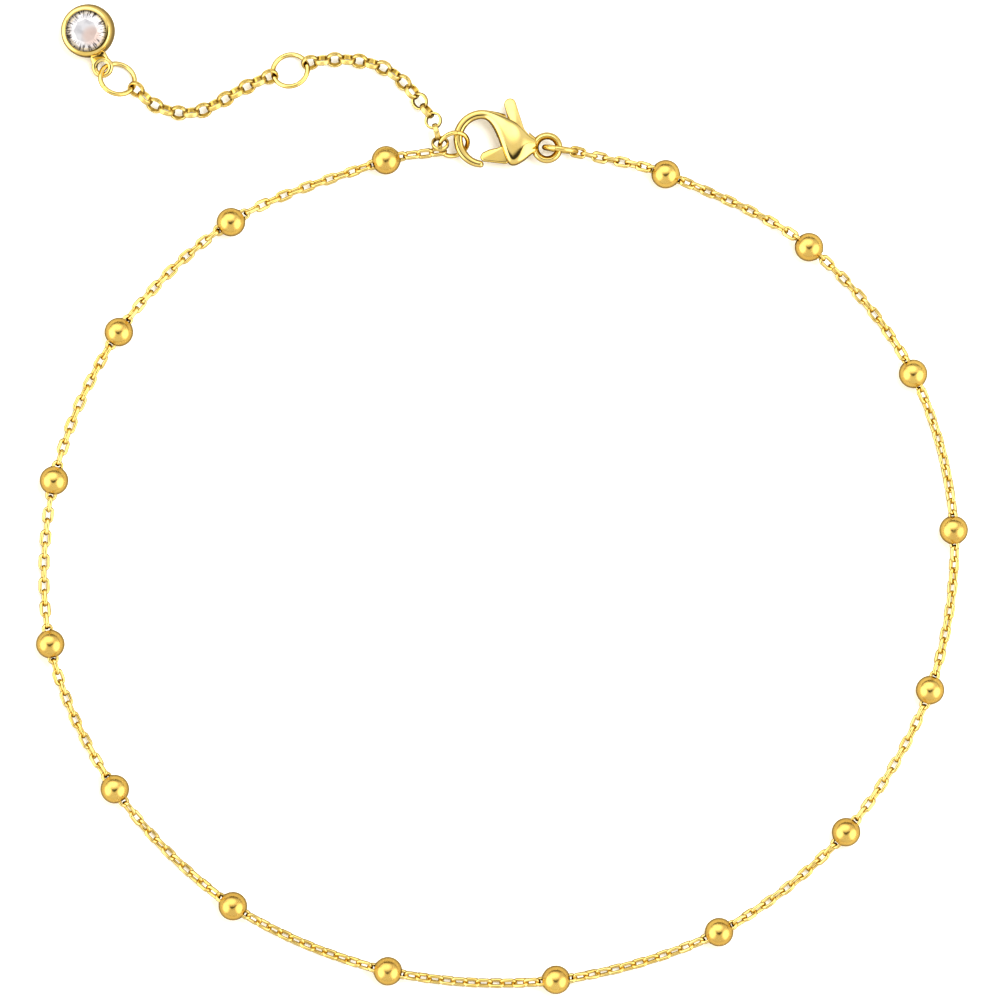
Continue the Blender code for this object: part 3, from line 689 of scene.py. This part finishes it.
def jump_ring(diameter, wire, seam, seam_turn):
    """A round-wire ring about Z, cut through once: the cut's two faces stand a seam apart."""
    made = ring(diameter, wire, wire, RING_SIDES)
    step = 2 * math.pi / RING_SIDES
    start_edit()
    bpy.ops.mesh.select_mode(type="FACE")
    bpy.ops.mesh.select_all(action="DESELECT")
    builder = bmesh.from_edit_mesh(made.data)
    for face in builder.faces:
        face.select = turn_from(face.calc_center_median(), step / 2) < step * 0.4
    bmesh.update_edit_mesh(made.data)
    bpy.ops.mesh.delete(type="FACE")
    closing = (step - seam / (diameter / 2)) / 2
    for side, turn in ((0.0, closing), (step, -closing)):
        choose(lambda co, side=side: turn_from(co, side) < step / 4)
        bpy.ops.mesh.edge_face_add()
        builder = bmesh.from_edit_mesh(made.data)
        chosen = [vertex for vertex in builder.verts if vertex.select]
        spin = Matrix.Rotation(turn, 3, "Z")
        bmesh.ops.rotate(builder, verts=chosen, cent=(0, 0, 0), matrix=spin)
        bmesh.update_edit_mesh(made.data)
    leave_edit()
    made.data.transform(Matrix.Rotation(seam_turn, 4, "Z"))
    return made


def turned(profile, sides):
    """A round piece about Z: a circle drawn out through a profile of (radius, height)."""
    fresh()
    radius, height = profile[0]
    bpy.ops.mesh.primitive_circle_add(vertices=sides, radius=radius, location=(0, 0, height))
    bpy.ops.object.transform_apply(location=True)
    made = bpy.context.object
    start_edit()
    for next_radius, next_height in profile[1:]:
        bpy.ops.mesh.extrude_region_move(
            TRANSFORM_OT_translate={"value": (0, 0, next_height - height)}
        )
        ratio = next_radius / radius
        bpy.ops.transform.resize(value=(ratio, ratio, 1), center_override=(0, 0, next_height))
        radius, height = next_radius, next_height
    leave_edit()
    return made


def close_ends(piece):
    """Fills a turned piece's open ends and points its faces outwards."""
    pick(piece)
    start_edit()
    bpy.ops.mesh.fill_holes(sides=0)
    close_edit()
    return piece


def banded_ring(diameter, wall, band, sides):
    """A ring about Z of flat-sided wire, with eased edges and a slightly domed outside."""
    inner, outer, half = diameter / 2 - wall, diameter / 2, band / 2
    ease = wall / 5
    section = [
        (inner, ease - half), (inner, half - ease), (inner + ease, half), (outer - 2 * ease, half),
        (outer - ease / 2, half - 1.5 * ease), (outer, 0.0), (outer - ease / 2, 1.5 * ease - half),
        (outer - 2 * ease, -half), (inner + ease, -half),
    ]
    made = turned(section, sides)
    start_edit()
    bpy.ops.mesh.select_mode(type="EDGE")
    bpy.ops.mesh.select_all(action="DESELECT")
    bpy.ops.mesh.select_non_manifold()
    bpy.ops.mesh.bridge_edge_loops()
    close_edit()
    return made


def plate(outline, thickness):
    """A flat plate about Z = 0 with this outline in plan."""
    fresh()
    bpy.ops.mesh.primitive_circle_add(vertices=len(outline), radius=1, fill_type="NGON")
    made = bpy.context.object
    for vertex, point in zip(made.data.vertices, outline):
        vertex.co = (point[0], point[1], -thickness / 2)
    start_edit()
    bpy.ops.mesh.extrude_region_move(TRANSFORM_OT_translate={"value": (0, 0, thickness)})
    close_edit()
    return made


def oval(turn, fullness):
    """A point of an oval of half sizes 1: round at a fullness of 2, squarer above it."""
    across, up = math.cos(turn), math.sin(turn)
    power = 2 / fullness
    return math.copysign(abs(across) ** power, across), math.copysign(abs(up) ** power, up)


def loft(sections, sides, fullness):
    """A closed skin over oval sections.

    Each has a centre, an across vector, a thickness along Z and the shift of its crown, as a share
    of half its width.
    """
    fresh()
    bpy.ops.mesh.primitive_circle_add(vertices=sides, radius=0.5)
    made = bpy.context.object
    start_edit()
    for number, (centre, across, thickness, shift) in enumerate(sections):
        if number:
            bpy.ops.mesh.extrude_region_move(TRANSFORM_OT_translate={"value": (0, 0, 0)})
        builder = bmesh.from_edit_mesh(made.data)
        chosen = [vertex for vertex in builder.verts if vertex.select]
        chosen.sort(key=lambda vertex: vertex.index)
        for i, vertex in enumerate(chosen):
            out, up = oval(2 * math.pi * (i + 0.5) / sides, fullness)
            shifted = (out + shift * (1 - out * out)) / 2
            vertex.co = centre + across * shifted + Vector((0, 0, up * thickness / 2))
        bmesh.update_edit_mesh(made.data)
    bpy.ops.mesh.select_all(action="SELECT")
    bpy.ops.mesh.fill_holes(sides=0)
    close_edit()
    return made


class Clasp:
    """Where the clasp's features are, about the eye's centre, with the hook towards -X."""

    def __init__(self, sizes):
        self.sizes = sizes
        self.origin = Vector((sizes.eye_x, sizes.eye_y, sizes.thickness / 2))
        self.hook_radius = sizes.width / 2
        self.span = sizes.eye_span
        self.hook_centre = Vector((-self.span, sizes.hook_rise * sizes.width, 0.0))
        pivot_x = self.span * (sizes.pivot_along - 1)
        self.pivot = Vector((pivot_x, sizes.pivot_rise * sizes.width, 0.0))

    def sections(self):
        """The hook's sections from its tip round to its top, then the body's down to the eye."""
        sizes = self.sizes
        top = math.pi / 2
        found = []
        for step in range(ARC_STEPS + 1):
            turn = sizes.tip_angle + (top - sizes.tip_angle) * step / ARC_STEPS
            ease = min(step / ARC_STEPS * 3, 1.0)
            stock = sizes.hook_tip + (sizes.hook_stock - sizes.hook_tip) * ease
            outwards = direction(turn)
            centre = self.hook_centre + outwards * (self.hook_radius - stock / 2)
            found.append((centre, outwards * stock, sizes.hook_thickness, 0.0))
        for number, (along, high, low, thick) in enumerate(BODY_SECTIONS):
            upper, lower = high * sizes.width, low * sizes.width
            centre = Vector((self.span * (along - 1), (upper + lower) / 2, 0.0))
            across = Vector((0, upper - lower, 0))
            shift = -sizes.crown_shift * min(number / 4, 1.0)
            found.append((centre, across, thick * sizes.thickness, shift))
        return found

    def gate(self, corner):
        """A corner of the gate, from the pivot."""
        x, y = GATE_CORNERS[corner]
        return Vector((x * self.span, y * self.sizes.width, 0.0))

    def lever_outline(self):
        """The lever's plan, from the pivot: hub, thumb tab and gate."""
        sizes = self.sizes
        out = direction(sizes.tab_heading)
        left = direction(sizes.tab_heading + math.pi / 2)
        round_centre = out * (sizes.tab_reach - sizes.tab_width / 2)
        outline = [direction(math.radians(a)) * sizes.hub_diameter / 2 for a in (-75, -45, -15, 10)]
        for step in range(ARC_STEPS + 1):
            turn = sizes.tab_heading - math.pi / 2 + math.pi * step / ARC_STEPS
            outline.append(round_centre + direction(turn) * sizes.tab_width / 2)
        outline.append(out * sizes.hub_diameter * 0.6 + left * sizes.tab_width / 2)
        return outline + [self.gate(corner) for corner in GATE_CORNERS]

    def fall(self, point):
        """How much lower the lever's upper side is here, to the tab's end and the gate's edge."""
        sizes = self.sizes
        heel = self.gate("heel")
        out = point.dot(direction(sizes.tab_heading)) - 0.45 * sizes.tab_reach
        rise = point.y - heel.y
        gate_share = min(max((heel.x - point.x) / (0.1 * self.span) + 1, 0.0), 1.0)
        if point.y > sizes.hub_diameter / 2:
            gate_share = 0.0
        return sizes.lever_fall * (max(out, 0.0) + rise * gate_share)

    def slot_outline(self):
        """The room that the lever sweeps from closed to open, with its clearance."""
        sizes = self.sizes
        turn_open = Matrix.Rotation(-sizes.lever_travel, 3, "Z")
        gap = sizes.lever_clearance
        far = sizes.tab_reach + 4 * gap
        half = sizes.tab_width / 2 + gap
        room = sizes.hub_diameter / 2 + gap
        out, side = direction(sizes.tab_heading), direction(sizes.tab_heading + math.pi / 2)
        swung = sizes.tab_heading - sizes.lever_travel
        swung_out, swung_side = direction(swung), direction(swung - math.pi / 2)
        upper, tip = turn_open @ self.gate("upper"), turn_open @ self.gate("tip_upper")
        mouth = self.gate("upper").x - 4 * gap
        slope = (tip.y - upper.y) / (tip.x - upper.x)
        heel = self.gate("heel")
        return [
            direction(math.radians(-75)) * room,
            direction(math.radians(-45)) * room,
            swung_side * room,
            swung_side * half + swung_out * far,
            side * half + out * far,
            side * half + out * room,
            upper + Vector((0, gap, 0)),
            Vector((mouth, upper.y + gap + slope * (mouth - upper.x), 0)),
            Vector((mouth, heel.y - 3 * gap, 0)),
            heel + Vector((gap, -3 * gap, 0)),
            heel + Vector((2 * gap, -gap, 0)),
        ]


class ANKLET_OT_beads(bpy.types.Operator):
    """Models the round beads, each with a hole for the chain"""

    bl_idname = "anklet.beads"
    bl_label = "Beads"

    def execute(self, context):
        sizes = context.scene.anklet_chain
        radius = sizes.bead_diameter / 2
        mouth = math.sqrt(radius**2 - (sizes.bead_hole / 2) ** 2)
        fresh()
        bpy.ops.mesh.primitive_uv_sphere_add(
            segments=BEAD_SIDES, ring_count=BEAD_RINGS, radius=radius
        )
        pattern = context.object
        start_edit()
        bpy.ops.mesh.bisect(plane_co=(0, 0, mouth), plane_no=(0, 0, 1), clear_outer=True)
        bpy.ops.mesh.select_all(action="SELECT")
        bpy.ops.mesh.bisect(plane_co=(0, 0, -mouth), plane_no=(0, 0, 1), clear_inner=True)
        choose(lambda co: abs(co.z) > mouth - 0.01 * MM)
        bpy.ops.mesh.bridge_edge_loops()
        bpy.ops.mesh.bevel(offset=0.03 * MM, segments=2)
        close_edit()
        across = Matrix.Rotation(math.pi / 2, 4, "Y")
        gold = gold_material("satin_gold")
        finish_piece(pattern, "bead_pattern", gold, across, math.radians(40))
        route = chain_route(sizes)
        for i, node in enumerate(BEADS):
            run = route.bend_run(i + 1)
            before, after = route.at(run - radius), route.at(run + radius)
            place = lying_frame(middle_of(node), after - before, 0.0)
            bead = copy_at(pattern, f"round_{node}", place)
            corners = np.array([vertex.co for vertex in bead.data.vertices])
            low, high = CAD_BOX[0] - corners.min(0), CAD_BOX[1] - corners.max(0)
            inwards = np.maximum(low, 0) + np.minimum(high, 0)
            bead.data.transform(Matrix.Translation(Vector(inwards)))
            dress(bead, "anklet", "polished_gold", node)
        discard(pattern)
        return {"FINISHED"}


def chain_route(sizes):
    """The way of the cable chain, from its first link through the beads to its last link."""
    nodes = ["chain_first_link", *BEADS, "chain_last_link"]
    rest = sizes.link_width / 2 + 0.02 * MM
    hold = sizes.bead_diameter / 2 + 0.1 * MM
    holds = [0.0, *[hold] * len(BEADS), 0.0]
    return Route([middle_of(node) for node in nodes], rest, holds, 3.0 * MM)


class ANKLET_OT_cable_chain(bpy.types.Operator):
    """Models every oval link of the cable chain"""

    bl_idname = "anklet.cable_chain"
    bl_label = "Cable chain"

    def execute(self, context):
        sizes = context.scene.anklet_chain
        pattern = ring(sizes.link_width, sizes.link_wire, sizes.link_wire, sizes.link_sides, 8)
        stretch = (sizes.link_length - sizes.link_width) / 2
        start_edit()
        for sign in (1, -1):
            choose(lambda co, sign=sign: co.x * sign > 0)
            bpy.ops.transform.translate(value=(sign * stretch, 0, 0))
        leave_edit()
        finish_piece(pattern, "cable_link_pattern", gold_material("chain_gold"))

        route = chain_route(sizes)
        pitch = sizes.link_length - 2 * sizes.link_wire
        links = []
        for bend in range(len(BEADS) + 1):
            start, end = route.bend_run(bend), route.bend_run(bend + 1)
            inner = 0 < bend < len(BEADS)
            count = LINKS_PER_STRETCH if inner else 2 * round((end - start) / pitch / 2)
            for k in range(count + (bend == len(BEADS))):
                part = k / count
                run = start + (end - start) * part
                turn = CHAIN_TURNS[bend] * (1 - part) + CHAIN_TURNS[bend + 1] * part
                turn += 90 * (len(links) % 2)
                along = route.heading(run, sizes.link_length)
                place = lying_frame(route.at(run), along, math.radians(turn))
                links.append(copy_at(pattern, f"link_{len(links):03d}", place))
        discard(pattern)
        chain = join_all(links, "cable_chain")
        dress(chain, "anklet", "polished_gold", "chain", "chain_first_link", "chain_last_link")
        return {"FINISHED"}


class ANKLET_OT_rings(bpy.types.Operator):
    """Models the four jump rings, each cut where its ends meet"""

    bl_idname = "anklet.rings"
    bl_label = "Jump rings"

    def execute(self, context):
        sizes = context.scene.anklet_rings
        gold = gold_material("ring_gold")
        rings = [
            ("clasp_ring", sizes.clasp_diameter, sizes.clasp_wire, 250),
            ("joining_ring", sizes.joining_diameter, sizes.joining_wire, 75),
            ("middle_ring", sizes.extender_diameter, sizes.extender_wire, -68),
            ("end_ring", sizes.extender_diameter, sizes.extender_wire, 215),
        ]
        for node, diameter, wire, seam_turn in rings:
            made = jump_ring(diameter, wire, sizes.seam, math.radians(seam_turn))
            finish_piece(made, f"jump_{node}", gold, ring_frame(node), math.radians(50))
            dress(made, "anklet", "polished_gold", node)
        return {"FINISHED"}


class ANKLET_OT_extender(bpy.types.Operator):
    """Models the round flat-banded links of the extender chain"""

    bl_idname = "anklet.extender"
    bl_label = "Extender chain"

    def execute(self, context):
        sizes = context.scene.anklet_rings
        gold = gold_material("extender_gold")
        pattern = banded_ring(sizes.rolo_diameter, sizes.rolo_wall, sizes.rolo_band, ROLO_SIDES)
        finish_piece(pattern, "rolo_link_pattern", gold, smooth_angle=math.radians(33))
        # Painted shade: faces inside each link's hole take a second, darker material
        pattern.data.materials.append(gold_material("extender_inside_gold"))
        inside = sizes.rolo_diameter / 2 - sizes.rolo_wall * 0.97
        for face in pattern.data.polygons:
            face.material_index = int(face.center.xy.length < inside)
        frames = [ring_frame(node) for node in ROLO_LINKS]
        lean = sizes.rolo_lean
        rise = sizes.rolo_diameter * (math.sin(math.pi / 4 + lean) - math.sin(math.pi / 4)) / 2
        rise += sizes.rolo_band * (math.cos(math.pi / 4 + lean) - math.cos(math.pi / 4)) / 2
        links = []
        for i, (node, place) in enumerate(zip(ROLO_LINKS, frames)):
            before, after = frames[max(i - 1, 0)], frames[min(i + 1, len(frames) - 1)]
            along = (after.to_translation() - before.to_translation()).normalized()
            across = along.cross(Vector((0, 0, 1)))
            if i >= TWISTED_LINKS and place.col[2].to_3d().dot(across) > 0.3:
                centre = Matrix.Translation(place.to_translation())
                roll = centre @ Matrix.Rotation(lean, 4, along) @ centre.inverted()
                place = Matrix.Translation((0, 0, rise)) @ roll @ place
            links.append(copy_at(pattern, f"rolo_{node}", place))
        discard(pattern)
        dress(join_all(links, "rolo_chain"), "anklet", "polished_gold", *ROLO_LINKS)
        return {"FINISHED"}


class ANKLET_OT_clasp(bpy.types.Operator):
    """Models the lobster clasp: hook, bulged body, eye and pin, and the thumb lever"""

    bl_idname = "anklet.clasp"
    bl_label = "Clasp"

    def execute(self, context):
        sizes = context.scene.anklet_clasp
        clasp = Clasp(sizes)
        gold = gold_material("clasp_gold")
        at_pivot = Matrix.Translation(clasp.pivot)

        body = loft(clasp.sections(), 20, sizes.fullness)
        use_modifier(body, "SUBSURF", levels=2, render_levels=2)
        wall = (sizes.eye_diameter - sizes.eye_hole) / 2
        eye = ring(sizes.eye_diameter, wall, sizes.eye_thickness, 64, 24)
        combine(body, eye, "UNION")
        slot_height = sizes.lever_thickness + 2 * sizes.lever_clearance
        slot = plate(clasp.slot_outline(), slot_height)
        slot.data.transform(at_pivot)
        combine(body, slot, "DIFFERENCE")
        pin_length = (slot_height + sizes.thickness) / 2
        pin = cylinder(sizes.pin_diameter / 2, pin_length, clasp.pivot, 32)
        combine(body, pin, "UNION")
        place = Matrix.Translation(clasp.origin)
        finish_piece(body, "clasp_hook_and_body", gold, place, math.radians(42))
        dress(body, "anklet", "polished_gold", "clasp_body")

        lever = plate(clasp.lever_outline(), sizes.lever_thickness)
        use_modifier(
            lever, "BEVEL", width=sizes.tab_round, segments=5, limit_method="ANGLE",
            angle_limit=math.radians(25), harden_normals=False,
        )
        for vertex in lever.data.vertices:
            if vertex.co.z > 0:
                vertex.co.z -= clasp.fall(vertex.co)
        finish_piece(lever, "clasp_thumb_lever", gold, place @ at_pivot, math.radians(50))
        dress(lever, "lever", "polished_gold", "clasp_lever")
        return {"FINISHED"}


class ANKLET_OT_drop(bpy.types.Operator):
    """Models the bezel cup with its soldered loop, and the stone in it"""

    bl_idname = "anklet.drop"
    bl_label = "Drop"

    def execute(self, context):
        sizes = context.scene.anklet_drop
        back = next(mount for mount in frame["record"]["mounts"] if mount["name"] == "drop_back")
        lean = Vector((0, 0, -1)).rotation_difference(Vector(back["axis"])).to_matrix().to_4x4()
        place = Matrix.Translation(back["pos_m"]) @ lean
        loop_centre = Vector(back["pos_m"]) - direction(sizes.heading) * sizes.reach
        end_ring = ring_frame("end_ring")
        away = loop_centre - end_ring.to_translation()
        loop_centre.z -= away.dot(end_ring.col[2].to_3d()) / end_ring.col[2].z
        loop_local = place.inverted() @ loop_centre

        cup = self.cup(sizes)
        loop = ring(sizes.loop_diameter, sizes.loop_wire, sizes.loop_wire, 48)
        loop.data.transform(Matrix.Translation(loop_local))
        combine(cup, loop, "UNION")
        combine(cup, self.neck(sizes, loop_local), "UNION")
        opening = sizes.loop_diameter / 2 - sizes.loop_wire
        hole = cylinder(opening, 2 * sizes.loop_wire, loop_local, 48)
        combine(cup, hole, "DIFFERENCE")
        finish_piece(cup, "bezel_cup", gold_material("drop_gold"), place, math.radians(38))
        dress(cup, "anklet", "polished_gold", "drop_bezel")

        seat = sizes.cup_height - sizes.crown - sizes.girdle + sizes.lip
        stone = self.stone(sizes)
        stone_place = place @ Matrix.Translation((0, 0, seat))
        clear = stone_material(stone_place @ Vector((0, 0, sizes.crown)), sizes.stone_diameter / 2)
        finish_piece(stone, "round_stone", clear, stone_place, math.radians(1))
        dress(stone, "anklet", "clear_stone", "drop_stone")
        return {"FINISHED"}

    def cup(self, sizes):
        """The cup from the middle of its hollow over the rim to the middle of its back."""
        gap = 0.05 * MM
        cavity = sizes.stone_diameter / 2 + gap
        lip = sizes.stone_diameter / 2 - 0.06 * MM
        seat = sizes.cup_height - sizes.crown - sizes.girdle + sizes.lip
        edge = seat + sizes.girdle + gap
        outer, back, rim = sizes.cup_diameter / 2, sizes.cup_back / 2, sizes.cup_height
        shoulder, top = cavity + sizes.lip, rim - 0.02 * MM
        profile = [
            (cavity * 0.10, 0.35 * MM), (cavity * 0.45, 0.35 * MM), (cavity * 0.75, seat * 0.55),
            (cavity, seat - gap), (cavity, edge), (lip, edge + sizes.lip),
            (lip, top), (lip + 0.02 * MM, rim), (shoulder - 0.03 * MM, rim),
        ]
        for step in range(13):
            turn = step / 12 * math.pi / 2
            radius = shoulder + (outer - shoulder) * math.sin(turn)
            profile.append((radius, top - (top - sizes.cup_widest) * (1 - math.cos(turn))))
        for step in range(1, 7):
            turn = step / 6 * math.pi / 2
            radius = outer + (back - outer) * (1 - math.cos(turn))
            profile.append((radius, sizes.cup_widest * (1 - math.sin(turn))))
        profile.append((back * 0.1, 0.0))
        return close_ends(turned(profile, CUP_SIDES))

    def neck(self, sizes, loop_local):
        """The pear-shaped bridge between the cup and the loop, widening towards the loop."""
        way = Vector((loop_local.x, loop_local.y, 0.0))
        inner = sizes.cup_diameter / 2 - 0.27 * MM
        half, wide = sizes.neck_width / 2, sizes.loop_diameter / 2 - sizes.loop_wire * 0.2
        outline = [(inner, -half), (way.length, -wide), (way.length, wide), (inner, half)]
        neck = plate(outline, sizes.loop_wire * 0.72)
        use_modifier(
            neck, "BEVEL", width=0.12 * MM, segments=4, limit_method="ANGLE",
            angle_limit=math.radians(60),
        )
        turn = Matrix.Rotation(math.atan2(way.y, way.x), 4, "Z")
        neck.data.transform(Matrix.Translation((0, 0, loop_local.z)) @ turn)
        return neck

    def stone(self, sizes):
        """A round brilliant about Z, its girdle's lower edge at Z = 0: corners in a hull."""
        radius = sizes.stone_diameter / 2
        top, girdle, culet = sizes.girdle + sizes.crown, sizes.girdle, -sizes.pavilion
        eighth = math.pi / 8
        table, star, lower = 0.56, 0.80, 0.24
        star_height = top + (star * math.cos(eighth) - table) * (girdle - top) / (1 - table)
        lower_height = culet * (1 - lower * math.cos(eighth))
        rows = [
            (table, top, 8, 0.0), (star, star_height, 8, eighth), (1.0, girdle, 16, 0.0),
            (1.0, 0.0, 16, 0.0), (lower, lower_height, 8, eighth), (0.012, culet, 8, 0.0),
        ]
        fresh()
        for row, (part, height, count, turn) in enumerate(rows):
            bpy.ops.mesh.primitive_circle_add(
                vertices=count, radius=radius * part, location=(0, 0, height),
                rotation=(0, 0, turn - math.pi / 2),
            )
            if row == 0:
                bpy.ops.object.transform_apply(location=True, rotation=True)
                bpy.ops.object.mode_set(mode="EDIT")
        bpy.ops.mesh.select_all(action="SELECT")
        bpy.ops.mesh.convex_hull()
        close_edit()
        return bpy.context.object


class ANKLET_OT_stage(bpy.types.Operator):
    """Sets up the surface, the light tent, the key light and the camera"""

    bl_idname = "anklet.stage"
    bl_label = "Stage"

    def execute(self, context):
        studio = context.scene.anklet_studio
        fresh()
        bpy.ops.mesh.primitive_plane_add(size=6.0, location=(0, 0, -0.02 * MM))
        floor = context.object
        finish_piece(floor, "stage_floor", self.floor_material(studio))

        lamp = bpy.data.lights.new("key_light", "AREA")
        lamp.shape = "DISK"
        lamp.size = KEY_SIZE
        lamp.energy = studio.key_power
        lamp.color = KEY_COLOUR
        key = bpy.data.objects.new("key_light", lamp)
        key.location = KEY_PLACE
        key.rotation_euler = key.location.to_track_quat("Z", "Y").to_euler()
        key.visible_glossy = False
        context.scene.collection.objects.link(key)

        self.tent(studio)

        lens = bpy.data.cameras.new("camera")
        lens.lens = studio.lens
        lens.sensor_width = 36.0
        lens.clip_start = 0.01
        lens.clip_end = 20.0
        camera = bpy.data.objects.new("camera", lens)
        distance = studio.field * studio.lens / lens.sensor_width
        camera.location = (studio.centre_x, studio.centre_y, distance + 0.6 * MM)
        context.scene.collection.objects.link(camera)
        context.scene.camera = camera
        context.scene.view_settings.view_transform = "Standard"
        context.scene.view_settings.look = "High Contrast"
        return {"FINISHED"}

    def floor_material(self, studio):
        """Pale card with a trace of tooth and a slight glow, and painted darker where metal mirrors
        it.
        """
        material = bpy.data.materials.new("pale_card")
        shader = Shader(material, "Principled BSDF")
        grain = shader.noise(shader.place(), 300.0)
        tooth = [channel * 0.995 for channel in studio.floor]
        shader.feed_main({
            "Base Color": shader.mix(grain, studio.floor, tooth),
            "Emission Color": studio.glow,
            "Emission Strength": studio.card_glow,
            "Roughness": 0.9,
            "Specular IOR Level": 0.1,
        })
        # Painted shade in reflections: glossy rays see the card darker, darkest where they meet it
        # steeply
        facing = shader.node("ShaderNodeLayerWeight", {}, {"Blend": 0.5})["Facing"]
        grazing = shader.mask(facing, 0.08, 0.55)
        painted_reflection_tone = shader.mix(grazing, studio.mirrored_floor_painted_shade, studio.mirrored_floor_painted_tone)
        low = shader.node("ShaderNodeBsdfDiffuse", {}, {"Color": painted_reflection_tone})["BSDF"]
        glossy = shader.node("ShaderNodeLightPath")["Is Glossy Ray"]
        card = Value(shader, shader.main.outputs["BSDF"])
        both = shader.node("ShaderNodeMixShader", {}, [glossy, card, low])["Shader"]
        shader.feed(material.node_tree.nodes["Material Output"].inputs["Surface"], both)
        return material

    def tent(self, studio):
        """The light tent: bright panels left, right and above, with dark seams between them."""
        world = bpy.data.worlds.new("light_tent")
        bpy.context.scene.world = world
        shader = Shader(world, "Background")
        x, y, z = shader.axes(shader.place("Generated"))
        reach = ((z + 1.0001) * 2).maths("SQRT")
        u, v = x / reach, y / reach

        def panel(cu, cv, ru, rv, power):
            """A soft oval of light at a place of the tent as a bead shows it."""
            du, dv = (u - cu) / ru, (v - cv) / rv
            return (1 - shader.mask(du * du + dv * dv, 0.35, 1.6)) * power

        def seam(su, sv, width):
            """A dark line from the seams' start towards this place."""
            cu, cv = SEAM_START
            span = math.hypot(su - cu, sv - cv)
            au, av = (su - cu) / span, (sv - cv) / span
            across = ((u - cu) * av - (v - cv) * au).maths("ABSOLUTE")
            along = (u - cu) * au + (v - cv) * av
            wide = 1 - shader.mask(along, 0.0, span)
            inside = shader.mask(along, -0.05, 0.0)
            return inside * (1 - shader.mask(across / (wide * width + 0.004), 0.5, 1.5))

        left, right, above = [panel(*row) for row in TENT_PANELS]
        tone = (left + right + above) * 0.70 + 0.60 - shader.mask(v, 0.42, 0.66) * 0.36
        first, second = [seam(*row) for row in TENT_SEAMS]
        dark = first.maths("MAXIMUM", second)
        horizon = (1 - shader.mask(z, 0.02, 0.20)) * (shader.mask(v, -0.3, 0.5) * 0.50 + 0.15)
        tone = tone * (1 - dark * 0.90) * (1 - horizon)
        grey = shader.node("ShaderNodeCombineColor", {}, [tone, tone * 0.965, tone * 0.89])
        shader.feed_main({"Color": grey["Color"], "Strength": studio.tent})


class ANKLET_PT_panel(bpy.types.Panel):
    """Lists the anklet's sizes and the steps that build it"""

    bl_idname = "ANKLET_PT_panel"
    bl_label = "Anklet"
    bl_space_type = "VIEW_3D"
    bl_region_type = "UI"
    bl_category = "Anklet"

    def draw(self, context):
        for operator in OPERATORS:
            self.layout.operator(operator.bl_idname)
        for group in GROUPS:
            box = self.layout.box()
            for name in GROUPS[group].__annotations__:
                box.prop(getattr(context.scene, group), name)


GROUPS = {
    "anklet_chain": AnkletChainSizes,
    "anklet_rings": AnkletRingSizes,
    "anklet_clasp": AnkletClaspSizes,
    "anklet_drop": AnkletDropSizes,
    "anklet_finish": AnkletFinish,
    "anklet_studio": AnkletStudio,
}
OPERATORS = [
    ANKLET_OT_stage,
    ANKLET_OT_beads,
    ANKLET_OT_cable_chain,
    ANKLET_OT_rings,
    ANKLET_OT_extender,
    ANKLET_OT_clasp,
    ANKLET_OT_drop,
]


def register():
    for group in GROUPS.values():
        bpy.utils.register_class(group)
    for name, group in GROUPS.items():
        setattr(bpy.types.Scene, name, PointerProperty(type=group))
    for operator in OPERATORS:
        bpy.utils.register_class(operator)
    bpy.utils.register_class(ANKLET_PT_panel)


def unregister():
    bpy.utils.unregister_class(ANKLET_PT_panel)
    for operator in reversed(OPERATORS):
        bpy.utils.unregister_class(operator)
    for name in GROUPS:
        delattr(bpy.types.Scene, name)
    for group in GROUPS.values():
        bpy.utils.unregister_class(group)


def main():
    register()
    bpy.ops.anklet.stage()
    bpy.ops.anklet.beads()
    bpy.ops.anklet.cable_chain()
    bpy.ops.anklet.rings()
    bpy.ops.anklet.extender()
    bpy.ops.anklet.clasp()
    bpy.ops.anklet.drop()
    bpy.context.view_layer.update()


if __name__ == "__main__":
    main()
